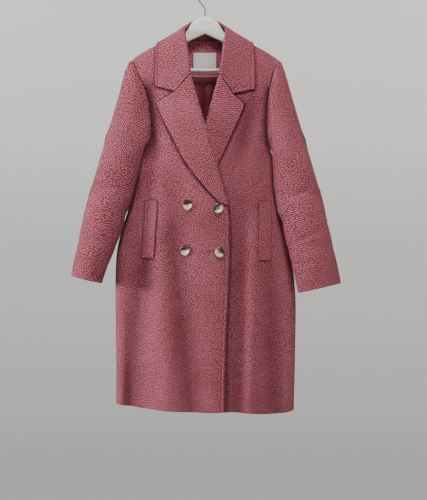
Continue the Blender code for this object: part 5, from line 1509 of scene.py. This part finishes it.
class COAT_OT_pockets(bpy.types.Operator):
    """The two welt pockets"""
    bl_idname = "coat.pockets"
    bl_label = "Make the pockets"

    def execute(self, context):
        for row in zip(*POCKETS.values()):
            pocket(*row)
        return {"FINISHED"}


class COAT_OT_buttons(bpy.types.Operator):
    """The four horn buttons with their thread, and the buttonholes"""
    bl_idname = "coat.buttons"
    bl_label = "Make the buttons"

    def execute(self, context):
        for index, (row, dark_at) in enumerate(zip(zip(*BUTTONS.values()), DARK_AT)):
            button(index + 1, *row, dark_at)
        for index, row in enumerate(zip(*BUTTONHOLE.values())):
            buttonhole(index + 1, *row)
        return {"FINISHED"}


class COAT_OT_neck(bpy.types.Operator):
    """The facing, the lining and the bare label inside the neck"""
    bl_idname = "coat.neck"
    bl_label = "Make the neck's inside"

    def execute(self, context):
        neck_inside()
        return {"FINISHED"}


class COAT_OT_hanger(bpy.types.Operator):
    """The hanger with its bar and its hook"""
    bl_idname = "coat.hanger"
    bl_label = "Make the hanger"

    def execute(self, context):
        hanger()
        hook()
        return {"FINISHED"}


class COAT_OT_stage(bpy.types.Operator):
    """The pale studio: cove, lights, world and camera"""
    bl_idname = "coat.stage"
    bl_label = "Make the stage"

    def execute(self, context):
        cove()
        for lamp in LIGHTS:
            light(*lamp)
        world = bpy.data.worlds.new("studio_sky")
        world.use_nodes = True
        world.node_tree.nodes["Background"].inputs["Color"].default_value = SKY
        world.node_tree.nodes["Background"].inputs["Strength"].default_value = SKY_STRENGTH
        context.scene.world = world
        camera()
        return {"FINISHED"}


SKY = (0.93, 0.96, 1.0, 1)
SKY_STRENGTH = 0.12
# Each light: name, place, aim, size, power and colour.
LIGHTS = (("window", (0.2, -2.0, 2.1), (0.0, 0.0, -0.75), 0.8, 88.0, (0.97, 0.98, 1.0)),
          ("side_window", (-3.5, -1.1, -0.3), (0.0, 0.0, -0.75), 0.8, 145.0, (0.95, 0.97, 1.0)),
          ("room", (1.8, -4.2, -0.2), (0.0, 0.0, -0.8), 2.0, 32.0, (1.0, 0.94, 0.90)),
          ("wall_left", (-3.0, 2.5, 2.8), (-1.6, 6.4, 1.5), 2.5, 190.0, (0.97, 0.98, 1.0)),
          ("wall_right", (3.0, 2.5, 2.8), (1.6, 6.4, 1.3), 2.5, 180.0, (1.0, 0.93, 0.86)))


class VIEW3D_PT_coat(bpy.types.Panel):
    """The coat's pieces, sizes and colours"""
    bl_label = "Coat"
    bl_idname = "VIEW3D_PT_coat"
    bl_space_type = "VIEW_3D"
    bl_region_type = "UI"
    bl_category = "Coat"

    def draw(self, context):
        for group in (context.scene.coat_sizes, context.scene.coat_colours):
            box = self.layout.box()
            for key in group.__annotations__:
                box.prop(group, key)
        for operator in OPERATORS:
            self.layout.operator(operator.bl_idname)


OPERATORS = (COAT_OT_fronts, COAT_OT_back, COAT_OT_sleeves, COAT_OT_lapels, COAT_OT_collar, COAT_OT_pockets,
             COAT_OT_buttons, COAT_OT_neck, COAT_OT_hanger, COAT_OT_stage)
CLASSES = (CoatSizes, CoatColours, VIEW3D_PT_coat) + OPERATORS


def register():
    """Registers the classes, and the coat's sizes and colours on the scene."""
    for made in CLASSES:
        bpy.utils.register_class(made)
    bpy.types.Scene.coat_sizes = bpy.props.PointerProperty(type=CoatSizes)
    bpy.types.Scene.coat_colours = bpy.props.PointerProperty(type=CoatColours)


def unregister():
    """Takes the scene's properties and the classes away again."""
    del bpy.types.Scene.coat_colours
    del bpy.types.Scene.coat_sizes
    for made in reversed(CLASSES):
        bpy.utils.unregister_class(made)


def main():
    """Registers the classes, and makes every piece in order."""
    register()
    bpy.ops.coat.fronts()
    bpy.ops.coat.back()
    bpy.ops.coat.sleeves()
    bpy.ops.coat.lapels()
    bpy.ops.coat.collar()
    bpy.ops.coat.pockets()
    bpy.ops.coat.buttons()
    bpy.ops.coat.neck()
    bpy.ops.coat.hanger()
    bpy.ops.coat.stage()


if __name__ == "__main__":
    main()
